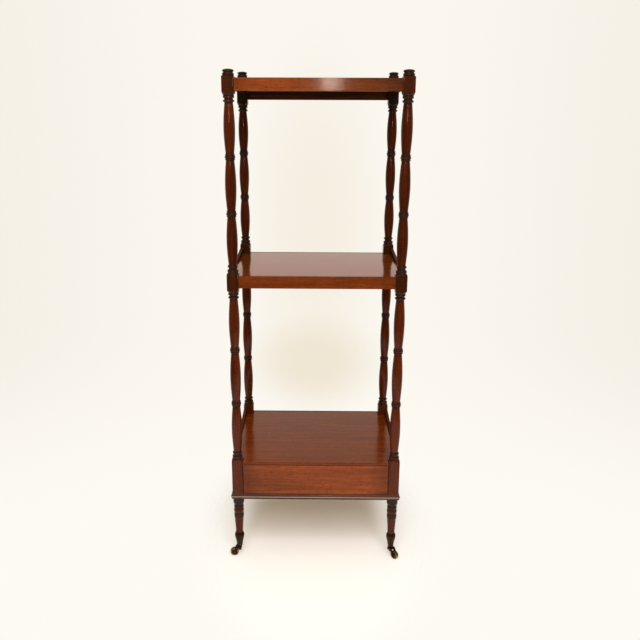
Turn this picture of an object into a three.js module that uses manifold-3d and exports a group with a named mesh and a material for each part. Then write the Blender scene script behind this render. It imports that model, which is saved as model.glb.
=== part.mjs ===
// A three-tier mahogany whatnot. Four turned posts carry two framed shelves above a shelf with a drawer
// under it, and turned legs on brass casters carry the posts.
// Millimetres, +Z up. The front faces -Y, and the origin is on the floor under the middle of the piece.
import * as THREE from 'three';
import { mergeVertices } from 'three/addons/utils/BufferGeometryUtils.js';
import Module from 'manifold-3d';

const wasm = await Module();
wasm.setup();

// Plan: the spacing of the post centres and the side of their square blocks
const POST_SPACING_X = 400;
const POST_SPACING_Y = 314;
const BLOCK = 28;

// Heights above the floor
const TOP_SHELF_Z = 1205;
const MID_SHELF_Z = 761;
const BASE_SHELF_Z = 278;
const BASE_UNDERSIDE_Z = 175;

// Fits
const FIT = 0.3;
const TENON_END_GAP = 0.5;
const DRAWER_FRONT_GAP = 1;
const CUT_OVERRUN = 2;

// Shelf frames: rails with a rebate along their inner top edge, in which the board lies
const TOP_RAIL_HEIGHT = 28;
const TOP_BACK_RAIL_HEIGHT = 32;
const TOP_SIDE_RAIL_HEIGHT = 14;
const MID_RAIL_HEIGHT = 30;
const RAIL_THICKNESS = 16;
const BOARD_THICKNESS = 9;
const BASE_BOARD_THICKNESS = 7;

// Low side galleries, swept up towards the back
const GALLERY_THICKNESS = 8;
const GALLERY_FRONT_HEIGHT = 4;
const GALLERY_REAR_HEIGHT = 16;
const GALLERY_SWEEP_SHARE = 0.6;
const GALLERY_STEPS = 10;

// Tenons of the rails and panels
const TENON_LENGTH = 10;
const TENON_THICKNESS = 6;
const TENON_SHOULDER = 4;
const TOP_SIDE_TENON_THICKNESS = 4;
const TOP_SIDE_TENON_SHOULDER = 3;

// How far the square blocks stand above each shelf and below its rails
const FRONT_TOP_ABOVE = 3.8;
const FRONT_MID_ABOVE = 6.3;
const FRONT_BASE_ABOVE = 7.3;
const FRONT_TOP_BELOW = 10;
const REAR_TOP_ABOVE = 23.1;
const REAR_MID_ABOVE = 28.5;
const REAR_BASE_ABOVE = 31;
const REAR_TOP_BELOW = 16.5;
const MID_BELOW = 14;

// Turned stages of the posts: radii, then heights along the post
const TURNING_SIDES = 10;
const BLOCK_TOP_RADIUS = 18;
const SHOULDER_RADIUS = 12.2;
const COLLAR_RADIUS = 12.8;
const NECK_RADIUS = 9.9;
const RING_RADIUS = 12.9;
const BALUSTER_END_RADIUS = 9.8;
const BALUSTER_RADIUS = 13.2;
const BEAD_RADIUS = 12.4;
const SIDE_BEAD_RADIUS = 11.5;
const BEAD_GROOVE_RADIUS = 10.6;
const FOOT_RING_RADIUS = 12.4;
const FOOT_COVE_RADIUS = 10.3;
const FOOT_BEAD_RADIUS = 13.2;
const BLOCK_TOP_CHAMFER = 1.2;
const UPPER_SHOULDER_HEIGHT = 5;
const LOWER_SHOULDER_HEIGHT = 8;
const SHOULDER_STEPS = 3;
const COLLAR_HEIGHT = 4.8;
const COLLAR_COVE_HEIGHT = 3.4;
const RING_HEIGHT = 5.4;
const NECK_HEIGHT = 1.6;
const BEAD_HEIGHT = 6;
const SIDE_BEAD_HEIGHT = 4.2;
const FOOT_BEAD_HEIGHT = 7;
const FOOT_COVE_HEIGHT = 5;
const FOOT_RING_HEIGHT = 5.4;
const BEAD_EDGE_SHARE = 0.25;
const CLUSTER_SHARES = [0.329, 0.6735];
const SWELL_STEPS = 4;

// Button finials
const FINIAL_RING_RADIUS = 13.3;
const FINIAL_RING_HEIGHT = 6.5;
const FINIAL_GROOVE_RADIUS = 11;
const FINIAL_GROOVE_HEIGHT = 2.3;
const FINIAL_RIM_RADIUS = 13.1;
const FINIAL_RIM_HEIGHT = 3;
const FINIAL_CROWN_RADIUS = 9;
const FINIAL_CROWN_RISE = 2.5;
const FINIAL_TIP_RISE = 1.1;
const FINIAL_DOWEL_RADIUS = 5;
const FINIAL_DOWEL_LENGTH = 14;

// Turned legs, from the top down
const LEG_DISC_RADIUS = 14.4;
const LEG_DISC_HEIGHT = 19;
const LEG_GROOVE_RADIUS = 11.8;
const LEG_DISC_GROOVE_HEIGHT = 5.5;
const LEG_COLLAR_RADIUS = 12.8;
const LEG_COLLAR_HEIGHT = 6.5;
const LEG_COLLAR_GROOVE_HEIGHT = 3.5;
const LEG_RING_RADIUS = 13.1;
const LEG_RING_HEIGHT = 9;
const LEG_RING_GROOVE_HEIGHT = 4;
const LEG_BAND_HEIGHT = 12.5;
const LEG_ANKLE_RADIUS = 9.3;
const LEG_DOWEL_RADIUS = 7;
const LEG_DOWEL_LENGTH = 24;
const SPIGOT_TOP_RADIUS = 9;
const SPIGOT_END_RADIUS = 6.3;

// Caster wheels and axles
const WHEEL_RADIUS = 11;
const WHEEL_WIDTH = 9.5;
const WHEEL_EDGE = 1.4;
const WHEEL_HUB_RADIUS = 4.4;
const WHEEL_WEB_DEPTH = 1.2;
const WHEEL_SIDES = 12;
const WHEEL_SIDE_GAP = 0.5;
const AXLE_RADIUS = 1.5;
const AXLE_HEAD_RADIUS = 2.6;
const AXLE_HEAD_HEIGHT = 1;

// Caster forks: a crown above the wheel, a boss on the leg's centre line, a swivel pin and two arms
const CROWN_CLEARANCE = 0.4;
const CROWN_HEIGHT = 5.6;
const CROWN_BACK = 5;
const CROWN_REACH = 7;
const BOSS_TOP_HEIGHT = 2.6;
const BOSS_SHOULDER_DEPTH = 3;
const BOSS_TIP_RISE = 5;
const BOSS_TUCK = 0.1;
const BOSS_RADIUS = 5.5;
const BOSS_TIP_RADIUS = 3.6;
const PIN_RADIUS = 3.1;
const PIN_GAP = 0.5;
const PIN_HEAD_OVERLAP = 1;
const PIN_HEAD_HEIGHT = 2.4;
const ARM_THICKNESS = 2;
const ARM_EYE_RADIUS = 3.6;
const ARM_KNEE_SHARE = 0.55;
const EYE_START_SHARE = 1.15;
const EYE_TURN_SHARE = 1.15;
const EYE_STEPS = 5;
const CASTER_TURN_SHARES = { frontLeft: 1, frontRight: -0.25, rearLeft: 0.75, rearRight: 0 };

// Caster cups, from the bottom up
const CUP_GAP = 0.4;
const CUP_STEM_HEIGHT = 17;
const CUP_BELL_HEIGHT = 8;
const CUP_LIP_LOWER_HEIGHT = 6;
const CUP_LIP_UPPER_HEIGHT = 5;
const CUP_COLLAR_HEIGHT = 3;
const CUP_FLOOR_HEIGHT = 7;
const CUP_WELL_HEIGHT = 5;
const CUP_WALL = 1.3;
const CUP_LIP_SWELL = 1.7;
const CUP_LIP_SHOULDER_SWELL = 1.1;
const CUP_WAIST_RADIUS = 9.8;
const CUP_BOTTOM_RADIUS = 7.6;

// Base: side and back panels, front rail, runners and the moulding on three sides
const SIDE_PANEL_THICKNESS = 12;
const BACK_PANEL_THICKNESS = 10;
const BACK_PANEL_SETBACK = 2;
const BACK_PANEL_LAND = 5;
const FRONT_RAIL_HEIGHT = 14;
const FRONT_RAIL_DEPTH = 40;
const FRONT_RAIL_TENON_HEIGHT = 8;
const FRONT_RAIL_TENON_LENGTH = 5;
const RUNNER_HEIGHT = 12;
const RUNNER_WIDTH = 30;
const GUIDE_HEIGHT = 16;
const MOULDING_HEIGHT = 14;
const MOULDING_PROJECTION = 3.4;
const MOULDING_OUT_SHARES = [0, 0.6, 0.6, 0.35, 0.9, 1, 1, 0.75, 0.3, 0];
const MOULDING_UP_SHARES = [0, 0, 0.2, 0.27, 0.4, 0.5, 0.68, 0.84, 0.94, 1];

// Drawer
const DRAWER_REAR_GAP = 30;
const DRAWER_FRONT_THICKNESS = 16;
const DRAWER_LAP = 6;
const DRAWER_SIDE_THICKNESS = 8;
const DRAWER_SIDE_HEIGHT = 70;
const DRAWER_BACK_THICKNESS = 8;
const DRAWER_BACK_INSET = 8;
const DRAWER_BACK_DROP = 6;
const DRAWER_HOUSING = 3;
const DRAWER_BOTTOM_THICKNESS = 5;
const DRAWER_BOTTOM_RISE = 6;
const DRAWER_GROOVE = 4;
const DOVETAIL_COUNT = 3;
const DOVETAIL_ROOT_SHARE = 0.45;
const DOVETAIL_TIP_SHARE = 0.62;

// Finishes
const POLISHED_BOARD = { color: '#7a3d22', roughness: 0.3, metalness: 0 };
const POLISHED_RAIL = { color: '#74391f', roughness: 0.35, metalness: 0 };
const POLISHED_TURNING = { color: '#6a3220', roughness: 0.35, metalness: 0 };
const DARK_MAHOGANY = { color: '#4f2618', roughness: 0.45, metalness: 0 };
const BARE_LINING = { color: '#a3815a', roughness: 0.7, metalness: 0 };
const AGED_BRASS = { color: '#7d6238', roughness: 0.45, metalness: 1 };
const WORN_BRASS = { color: '#a98c58', roughness: 0.35, metalness: 1 };

// Places that follow from the sizes above
const HALF_X = POST_SPACING_X / 2;
const HALF_Y = POST_SPACING_Y / 2;
const OUTER_X = HALF_X + BLOCK / 2;
const OUTER_Y = HALF_Y + BLOCK / 2;
const INNER_X = HALF_X - BLOCK / 2;
const INNER_Y = HALF_Y - BLOCK / 2;
const FORK_GAP = WHEEL_WIDTH + 2 * WHEEL_SIDE_GAP;
const FORK_WIDTH = FORK_GAP + 2 * ARM_THICKNESS;
const FRONT_RAIL_TOP_Z = BASE_UNDERSIDE_Z + FRONT_RAIL_HEIGHT;
const BASE_BOARD_UNDERSIDE_Z = BASE_SHELF_Z - BASE_BOARD_THICKNESS;
const TRAIL = WHEEL_RADIUS + BOSS_TIP_RADIUS - BOSS_TUCK;
const CROWN_BOTTOM_Z = 2 * WHEEL_RADIUS + CROWN_CLEARANCE;
const CROWN_TOP_Z = CROWN_BOTTOM_Z + CROWN_HEIGHT;
const BOSS_TIP_Z = WHEEL_RADIUS + BOSS_TIP_RISE;
const BOSS_TOP_Z = CROWN_TOP_Z + BOSS_TOP_HEIGHT;
const CUP_BOTTOM_Z = BOSS_TOP_Z + CUP_GAP;
const CUP_FLOOR_Z = CUP_BOTTOM_Z + CUP_FLOOR_HEIGHT;
const SPIGOT_END_Z = CUP_FLOOR_Z + CUP_WELL_HEIGHT;
const CUP_WAIST_Z = CUP_BOTTOM_Z + CUP_STEM_HEIGHT;
const CUP_LIP_LOW_Z = CUP_WAIST_Z + CUP_BELL_HEIGHT;
const CUP_LIP_Z = CUP_LIP_LOW_Z + CUP_LIP_LOWER_HEIGHT;
const CUP_LIP_TOP_Z = CUP_LIP_Z + CUP_LIP_UPPER_HEIGHT;
const CUP_TOP_Z = CUP_LIP_TOP_Z + CUP_COLLAR_HEIGHT;
const CUP_TOP_RADIUS = SPIGOT_TOP_RADIUS + FIT + CUP_WALL;
const CUP_LIP_RADIUS = CUP_TOP_RADIUS + CUP_LIP_SWELL;
const CUP_LIP_SHOULDER_RADIUS = CUP_TOP_RADIUS + CUP_LIP_SHOULDER_SWELL;
const PIN_HOLE_RADIUS = PIN_RADIUS + PIN_GAP;
const PIN_HEAD_RADIUS = PIN_HOLE_RADIUS + PIN_HEAD_OVERLAP;

// Geometry helpers

function slab(x, y, z) {
  const geometry = new THREE.BoxGeometry(x[1] - x[0], y[1] - y[0], z[1] - z[0]);
  geometry.translate((x[0] + x[1]) / 2, (y[0] + y[1]) / 2, (z[0] + z[1]) / 2);
  return geometry;
}

function extrude(outline, depth) {
  const shape = new THREE.Shape(outline.map(([u, v]) => new THREE.Vector2(u, v)));
  return new THREE.ExtrudeGeometry(shape, { depth, bevelEnabled: false });
}

// An outline in Y and Z, carried along X from one place to another
function extrudeAlongX(outline, from, to) {
  const geometry = extrude(outline, to - from);
  const axes = [new THREE.Vector3(0, 1, 0), new THREE.Vector3(0, 0, 1), new THREE.Vector3(1, 0, 0)];
  geometry.applyMatrix4(new THREE.Matrix4().makeBasis(...axes));
  return geometry.translate(from, 0, 0);
}

// An outline in X and Z, carried along Y from one place to another
function extrudeAlongY(outline, from, to) {
  const geometry = extrude(outline, to - from);
  const axes = [new THREE.Vector3(1, 0, 0), new THREE.Vector3(0, 0, 1), new THREE.Vector3(0, -1, 0)];
  geometry.applyMatrix4(new THREE.Matrix4().makeBasis(...axes));
  return geometry.translate(0, to, 0);
}

// A profile of radii and heights, from the lowest point up, turned about Z
function turned(profile, sides = TURNING_SIDES) {
  const points = profile.map(([radius, height]) => new THREE.Vector2(radius, height));
  return new THREE.LatheGeometry(points, sides).rotateX(Math.PI / 2);
}

function solid(geometry) {
  const bare = new THREE.BufferGeometry();
  bare.setAttribute('position', geometry.getAttribute('position').clone());
  bare.setIndex(geometry.index ? geometry.index.clone() : null);
  const merged = mergeVertices(bare);
  const corners = merged.index.array;
  const kept = [];
  for (let i = 0; i < corners.length; i += 3) {
    const [a, b, c] = corners.slice(i, i + 3);
    if (a !== b && b !== c && c !== a) kept.push(a, b, c);
  }
  const vertProperties = new Float32Array(merged.getAttribute('position').array);
  return new wasm.Manifold(new wasm.Mesh({ numProp: 3, vertProperties, triVerts: new Uint32Array(kept) }));
}

function geometryOf(body) {
  const mesh = body.getMesh();
  const geometry = new THREE.BufferGeometry();
  geometry.setAttribute('position', new THREE.BufferAttribute(new Float32Array(mesh.vertProperties), 3));
  geometry.setIndex(new THREE.BufferAttribute(new Uint32Array(mesh.triVerts), 1));
  return geometry;
}

function cutFrom(geometry, cutters) {
  return geometryOf(cutters.reduce((body, cutter) => body.subtract(solid(cutter)), solid(geometry)));
}

function joined(geometries) {
  return geometryOf(geometries.map(solid).reduce((whole, next) => whole.add(next)));
}

function piece(name, geometry, finish) {
  geometry.deleteAttribute('normal');
  geometry.computeVertexNormals();
  const mesh = new THREE.Mesh(geometry, new THREE.MeshStandardMaterial(finish));
  mesh.name = name;
  return mesh;
}

// The four corners, with the sides that they are on

const CORNERS = [
  { name: 'front_left', sideX: -1, sideY: -1, turnShare: CASTER_TURN_SHARES.frontLeft },
  { name: 'front_right', sideX: 1, sideY: -1, turnShare: CASTER_TURN_SHARES.frontRight },
  { name: 'rear_left', sideX: -1, sideY: 1, turnShare: CASTER_TURN_SHARES.rearLeft },
  { name: 'rear_right', sideX: 1, sideY: 1, turnShare: CASTER_TURN_SHARES.rearRight },
];

function blocksOf(corner) {
  const front = corner.sideY < 0;
  const topRailLow = TOP_SHELF_Z - (front ? TOP_RAIL_HEIGHT : TOP_BACK_RAIL_HEIGHT);
  return {
    base: {
      low: BASE_UNDERSIDE_Z,
      high: BASE_SHELF_Z + (front ? FRONT_BASE_ABOVE : REAR_BASE_ABOVE),
    },
    mid: {
      low: MID_SHELF_Z - MID_RAIL_HEIGHT - MID_BELOW,
      high: MID_SHELF_Z + (front ? FRONT_MID_ABOVE : REAR_MID_ABOVE),
    },
    top: {
      low: topRailLow - (front ? FRONT_TOP_BELOW : REAR_TOP_BELOW),
      high: TOP_SHELF_Z + (front ? FRONT_TOP_ABOVE : REAR_TOP_ABOVE),
    },
  };
}

// Rails and panels: their edges, thickness and setback from the blocks' outer faces.
// The tenons of the base panels start above the dowels of the legs. The low side rails of the top
// shelf have thin tenons, in the part that stands outside the board.

const TENONED = {
  topFront: {
    low: TOP_SHELF_Z - TOP_RAIL_HEIGHT,
    high: TOP_SHELF_Z,
    tenonLow: TOP_SHELF_Z - TOP_RAIL_HEIGHT + TENON_SHOULDER,
    thickness: RAIL_THICKNESS,
    setback: 0,
  },
  topBack: {
    low: TOP_SHELF_Z - TOP_BACK_RAIL_HEIGHT,
    high: TOP_SHELF_Z,
    tenonLow: TOP_SHELF_Z - TOP_BACK_RAIL_HEIGHT + TENON_SHOULDER,
    thickness: RAIL_THICKNESS,
    setback: 0,
  },
  topSide: {
    low: TOP_SHELF_Z - TOP_SIDE_RAIL_HEIGHT,
    high: TOP_SHELF_Z,
    tenonLow: TOP_SHELF_Z - TOP_SIDE_RAIL_HEIGHT + TOP_SIDE_TENON_SHOULDER,
    tenonHigh: TOP_SHELF_Z - TOP_SIDE_TENON_SHOULDER,
    tenonedWidth: GALLERY_THICKNESS,
    tenonThickness: TOP_SIDE_TENON_THICKNESS,
    thickness: RAIL_THICKNESS,
    setback: 0,
  },
  mid: {
    low: MID_SHELF_Z - MID_RAIL_HEIGHT,
    high: MID_SHELF_Z,
    tenonLow: MID_SHELF_Z - MID_RAIL_HEIGHT + TENON_SHOULDER,
    thickness: RAIL_THICKNESS,
    setback: 0,
  },
  side: {
    low: BASE_UNDERSIDE_Z,
    high: BASE_SHELF_Z,
    tenonLow: BASE_UNDERSIDE_Z + LEG_DOWEL_LENGTH + TENON_SHOULDER,
    thickness: SIDE_PANEL_THICKNESS,
    setback: 0,
  },
  back: {
    low: BASE_UNDERSIDE_Z,
    high: BASE_SHELF_Z,
    tenonLow: BASE_UNDERSIDE_Z + LEG_DOWEL_LENGTH + TENON_SHOULDER,
    thickness: BACK_PANEL_THICKNESS,
    setback: BACK_PANEL_SETBACK,
  },
};

// A tenon's span across the rail, as distances in from the outer face of the blocks
function tenonAcross(rail) {
  const middle = rail.setback + (rail.tenonedWidth ?? rail.thickness) / 2;
  const thickness = rail.tenonThickness ?? TENON_THICKNESS;
  return [middle - thickness / 2, middle + thickness / 2];
}

function tenonUp(rail) {
  return [rail.tenonLow, rail.tenonHigh ?? rail.high - BOARD_THICKNESS - TENON_SHOULDER];
}

function sorted(a, b) {
  return a < b ? [a, b] : [b, a];
}

// A box given by distances in from the outer faces, mirrored to the wanted side
function mirrored(side, outer, inwards) {
  return sorted(side * (outer - inwards[0]), side * (outer - inwards[1]));
}

function grown(span, by) {
  return [span[0] - by, span[1] + by];
}

// Mortise for a rail that runs along X into the block at this corner
function mortiseX(corner, rail) {
  const into = mirrored(corner.sideX, BLOCK / 2, [BLOCK - TENON_LENGTH - TENON_END_GAP, BLOCK + CUT_OVERRUN]);
  const across = mirrored(corner.sideY, BLOCK / 2, grown(tenonAcross(rail), FIT));
  return slab(into, across, grown(tenonUp(rail), FIT));
}

// Mortise for a rail that runs along Y into the block at this corner
function mortiseY(corner, rail) {
  const into = mirrored(corner.sideY, BLOCK / 2, [BLOCK - TENON_LENGTH - TENON_END_GAP, BLOCK + CUT_OVERRUN]);
  const across = mirrored(corner.sideX, BLOCK / 2, grown(tenonAcross(rail), FIT));
  return slab(across, into, grown(tenonUp(rail), FIT));
}

// Posts

function beadPoints(low, high, grooveRadius, beadRadius) {
  const edge = (high - low) * BEAD_EDGE_SHARE;
  return [[grooveRadius, low], [beadRadius, low + edge], [beadRadius, high - edge], [grooveRadius, high]];
}

// The swelling part of a baluster between two groups of beads, without its ends
function swellPoints(low, high) {
  const points = [];
  for (let step = 1; step < SWELL_STEPS; step += 1) {
    const along = step / SWELL_STEPS;
    const radius = BALUSTER_END_RADIUS + (BALUSTER_RADIUS - BALUSTER_END_RADIUS) * Math.sin(Math.PI * along);
    points.push([radius, low + (high - low) * along]);
  }
  return points;
}

// A large bead between two small ones, where two balusters meet
function clusterPoints(middle) {
  const beadLow = middle - BEAD_HEIGHT / 2;
  const beadHigh = middle + BEAD_HEIGHT / 2;
  return [
    [BALUSTER_END_RADIUS, beadLow - SIDE_BEAD_HEIGHT],
    [SIDE_BEAD_RADIUS, beadLow - SIDE_BEAD_HEIGHT / 2],
    ...beadPoints(beadLow, beadHigh, BEAD_GROOVE_RADIUS, BEAD_RADIUS),
    [SIDE_BEAD_RADIUS, beadHigh + SIDE_BEAD_HEIGHT / 2],
    [BALUSTER_END_RADIUS, beadHigh + SIDE_BEAD_HEIGHT],
  ];
}

// The hollow shoulder from the whole square of a block down to the turning, without its outer end
function shoulderPoints(squareEnd, turnedEnd, wide) {
  const points = [];
  for (let step = 1; step < SHOULDER_STEPS; step += 1) {
    const along = step / SHOULDER_STEPS;
    const radius = SHOULDER_RADIUS + (wide - SHOULDER_RADIUS) * (1 - along) ** 2;
    points.push([radius, squareEnd + (turnedEnd - squareEnd) * along]);
  }
  return points;
}

// Everything turned between the top of one block and the bottom of the next
function stagePoints(low, high) {
  const coveLow = low + FOOT_BEAD_HEIGHT;
  const ringLow = coveLow + FOOT_COVE_HEIGHT;
  const ringHigh = ringLow + FOOT_RING_HEIGHT;
  const collarLow = high - COLLAR_HEIGHT;
  const upperRingHigh = collarLow - COLLAR_COVE_HEIGHT;
  const upperRingLow = upperRingHigh - RING_HEIGHT;
  const start = (ringLow + ringHigh) / 2;
  const span = (upperRingLow + upperRingHigh) / 2 - start;
  const clusters = CLUSTER_SHARES.map((share) => clusterPoints(start + span * share));
  const swells = [ringHigh + NECK_HEIGHT];
  clusters.forEach((cluster) => swells.push(cluster[0][1], cluster[cluster.length - 1][1]));
  swells.push(upperRingLow - NECK_HEIGHT);
  return [
    ...beadPoints(low, coveLow, SHOULDER_RADIUS, FOOT_BEAD_RADIUS),
    [FOOT_COVE_RADIUS, (coveLow + ringLow) / 2],
    ...beadPoints(ringLow, ringHigh, FOOT_COVE_RADIUS, FOOT_RING_RADIUS),
    [NECK_RADIUS, swells[0]],
    ...swellPoints(swells[0], swells[1]),
    ...clusters[0],
    ...swellPoints(swells[2], swells[3]),
    ...clusters[1],
    ...swellPoints(swells[4], swells[5]),
    [NECK_RADIUS, swells[5]],
    ...beadPoints(upperRingLow, upperRingHigh, NECK_RADIUS, RING_RADIUS),
    [NECK_RADIUS, (upperRingHigh + collarLow) / 2],
    ...beadPoints(collarLow, high, SHOULDER_RADIUS, COLLAR_RADIUS),
  ];
}

// From the top of one block to the bottom of the next, with the shoulders of both
function turningPoints(lower, upper, wide) {
  const squareTop = lower.high - UPPER_SHOULDER_HEIGHT;
  const squareBottom = upper.low + LOWER_SHOULDER_HEIGHT;
  return [
    [wide, squareTop],
    ...shoulderPoints(squareTop, lower.high, wide),
    ...stagePoints(lower.high, upper.low),
    ...shoulderPoints(squareBottom, upper.low, wide).reverse(),
    [wide, squareBottom],
  ];
}

// The turning is cut out of a square column: where its envelope is wider than the square, a block is left
function postGeometry(corner) {
  const blocks = blocksOf(corner);
  const wide = (BLOCK * Math.SQRT1_2 + FIT) / Math.cos(Math.PI / TURNING_SIDES);
  const profile = [
    [0, blocks.base.low],
    [wide, blocks.base.low],
    ...turningPoints(blocks.base, blocks.mid, wide),
    ...turningPoints(blocks.mid, blocks.top, wide),
    [wide, blocks.top.high - BLOCK_TOP_CHAMFER],
    [BLOCK_TOP_RADIUS, blocks.top.high],
    [0, blocks.top.high],
  ];
  const half = [-BLOCK / 2, BLOCK / 2];
  const column = solid(slab(half, half, [blocks.base.low, blocks.top.high]));
  const blank = geometryOf(solid(turned(profile)).intersect(column));
  const front = corner.sideY < 0;
  const legHole = BASE_UNDERSIDE_Z + LEG_DOWEL_LENGTH + TENON_END_GAP;
  const finialHole = blocks.top.high - FINIAL_DOWEL_LENGTH - TENON_END_GAP;
  const cutters = [
    mortiseX(corner, front ? TENONED.topFront : TENONED.topBack),
    mortiseY(corner, TENONED.topSide),
    mortiseX(corner, TENONED.mid),
    mortiseY(corner, TENONED.mid),
    mortiseY(corner, TENONED.side),
    front ? frontRailMortise(corner) : mortiseX(corner, TENONED.back),
    plug(LEG_DOWEL_RADIUS + FIT, BASE_UNDERSIDE_Z - CUT_OVERRUN, legHole),
    plug(FINIAL_DOWEL_RADIUS + FIT, finialHole, blocks.top.high + CUT_OVERRUN),
  ];
  return cutFrom(blank, cutters);
}

function plug(radius, low, high, sides = TURNING_SIDES) {
  return turned([[0, low], [radius, low], [radius, high], [0, high]], sides);
}

// The front rail under the drawer lies flat, beside the dowels of the legs, so its tenons are stubs
function frontRailTenonSpans() {
  const middle = BASE_UNDERSIDE_Z + FRONT_RAIL_HEIGHT / 2;
  const up = [middle - FRONT_RAIL_TENON_HEIGHT / 2, middle + FRONT_RAIL_TENON_HEIGHT / 2];
  return { across: tenonAcross(TENONED.mid), up };
}

function frontRailMortise(corner) {
  const { across, up } = frontRailTenonSpans();
  const depth = FRONT_RAIL_TENON_LENGTH + TENON_END_GAP;
  const into = mirrored(corner.sideX, BLOCK / 2, [BLOCK - depth, BLOCK + CUT_OVERRUN]);
  return slab(into, mirrored(corner.sideY, BLOCK / 2, grown(across, FIT)), grown(up, FIT));
}

function finialGeometry(blockTop) {
  const ringHigh = blockTop + FINIAL_RING_HEIGHT;
  const rimLow = ringHigh + FINIAL_GROOVE_HEIGHT;
  const rimHigh = rimLow + FINIAL_RIM_HEIGHT;
  const crown = rimHigh + FINIAL_CROWN_RISE;
  return turned([
    [0, blockTop - FINIAL_DOWEL_LENGTH],
    [FINIAL_DOWEL_RADIUS, blockTop - FINIAL_DOWEL_LENGTH],
    [FINIAL_DOWEL_RADIUS, blockTop],
    ...beadPoints(blockTop, ringHigh, SHOULDER_RADIUS, FINIAL_RING_RADIUS),
    [FINIAL_GROOVE_RADIUS, (ringHigh + rimLow) / 2],
    ...beadPoints(rimLow, rimHigh, SHOULDER_RADIUS, FINIAL_RIM_RADIUS),
    [FINIAL_CROWN_RADIUS, crown],
    [0, crown + FINIAL_TIP_RISE],
  ]);
}

// Shelf frames

// The cross-section of a rail whose outer face is at outer and whose rebate is as deep as its board.
// Side tells which way the face looks: -1 for the front and left, 1 for the back and right.
function rebatedOutline(side, outer, rail, land, boardThickness) {
  const face = side * (outer - rail.setback);
  const inside = face - side * rail.thickness;
  const rebate = face - side * land;
  const floor = rail.high - boardThickness;
  const outline = [
    [inside, rail.low],
    [face, rail.low],
    [face, rail.high],
    [rebate, rail.high],
    [rebate, floor],
    [inside, floor],
  ];
  return side > 0 ? outline : outline.reverse();
}

function tenonedRailX(side, rail, land, boardThickness) {
  const body = extrudeAlongX(rebatedOutline(side, OUTER_Y, rail, land, boardThickness), -INNER_X, INNER_X);
  const reach = INNER_X + TENON_LENGTH;
  const tenon = slab([-reach, reach], mirrored(side, OUTER_Y, tenonAcross(rail)), tenonUp(rail));
  return joined([body, tenon]);
}

function tenonedRailY(side, rail, land, boardThickness) {
  const body = extrudeAlongY(rebatedOutline(side, OUTER_X, rail, land, boardThickness), -INNER_Y, INNER_Y);
  const reach = INNER_Y + TENON_LENGTH;
  const tenon = slab(mirrored(side, OUTER_X, tenonAcross(rail)), [-reach, reach], tenonUp(rail));
  return joined([body, tenon]);
}

// A board with its corners notched round the blocks
function boardGeometry(low, high, halfWidth, front, back) {
  const stepX = INNER_X - FIT;
  const stepY = INNER_Y - FIT;
  const outline = [
    [-stepX, front],
    [stepX, front],
    [stepX, -stepY],
    [halfWidth, -stepY],
    [halfWidth, stepY],
    [stepX, stepY],
    [stepX, back],
    [-stepX, back],
    [-stepX, stepY],
    [-halfWidth, stepY],
    [-halfWidth, -stepY],
    [-stepX, -stepY],
  ];
  return extrude(outline, high - low).translate(0, 0, low);
}

// A thin board on the side rail, low at the front and swept up to the rear block
function galleryGeometry(side, shelf) {
  const sweep = new THREE.QuadraticBezierCurve(
    new THREE.Vector2(-INNER_Y, shelf + GALLERY_FRONT_HEIGHT),
    new THREE.Vector2(INNER_Y * (2 * GALLERY_SWEEP_SHARE - 1), shelf + GALLERY_FRONT_HEIGHT),
    new THREE.Vector2(INNER_Y, shelf + GALLERY_REAR_HEIGHT),
  );
  const top = sweep.getPoints(GALLERY_STEPS).map((point) => [point.x, point.y]);
  const outline = [[INNER_Y, shelf], ...top.reverse(), [-INNER_Y, shelf]];
  const span = mirrored(side, OUTER_X, [0, GALLERY_THICKNESS]);
  return extrudeAlongX(outline, span[0], span[1]);
}

// Base

function frontRailGeometry() {
  const { across, up } = frontRailTenonSpans();
  const reach = INNER_X + FRONT_RAIL_TENON_LENGTH;
  const tenon = slab([-reach, reach], mirrored(-1, OUTER_Y, across), up);
  const span = [-OUTER_Y, -OUTER_Y + FRONT_RAIL_DEPTH];
  const body = slab([-INNER_X, INNER_X], span, [BASE_UNDERSIDE_Z, FRONT_RAIL_TOP_Z]);
  return joined([body, tenon]);
}

// A runner carries the drawer's side, and the guide on it keeps the drawer straight
function runnerGeometry(side) {
  const face = OUTER_X - SIDE_PANEL_THICKNESS;
  const low = FRONT_RAIL_TOP_Z - RUNNER_HEIGHT;
  const outline = [
    [side * face, low],
    [side * face, FRONT_RAIL_TOP_Z + GUIDE_HEIGHT],
    [side * INNER_X, FRONT_RAIL_TOP_Z + GUIDE_HEIGHT],
    [side * INNER_X, FRONT_RAIL_TOP_Z],
    [side * (face - RUNNER_WIDTH), FRONT_RAIL_TOP_Z],
    [side * (face - RUNNER_WIDTH), low],
  ];
  return extrudeAlongY(side < 0 ? outline.reverse() : outline, FRONT_RAIL_DEPTH - OUTER_Y, INNER_Y);
}

function mouldingSection() {
  return MOULDING_OUT_SHARES.map((outShare, i) => [
    MOULDING_PROJECTION * outShare,
    BASE_UNDERSIDE_Z + MOULDING_HEIGHT * MOULDING_UP_SHARES[i],
  ]);
}

// Along the front: each end is cut at 45 degrees, so it runs further the more the section stands out
function frontMouldingGeometry() {
  const outline = mouldingSection().map(([out, up]) => [-OUTER_Y - out, up]);
  const geometry = extrudeAlongX(outline.reverse(), -OUTER_X, OUTER_X);
  const place = geometry.getAttribute('position');
  for (let i = 0; i < place.count; i += 1) {
    const out = -OUTER_Y - place.getY(i);
    place.setX(i, Math.sign(place.getX(i)) * (OUTER_X + out - FIT / 2));
  }
  return geometry;
}

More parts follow.
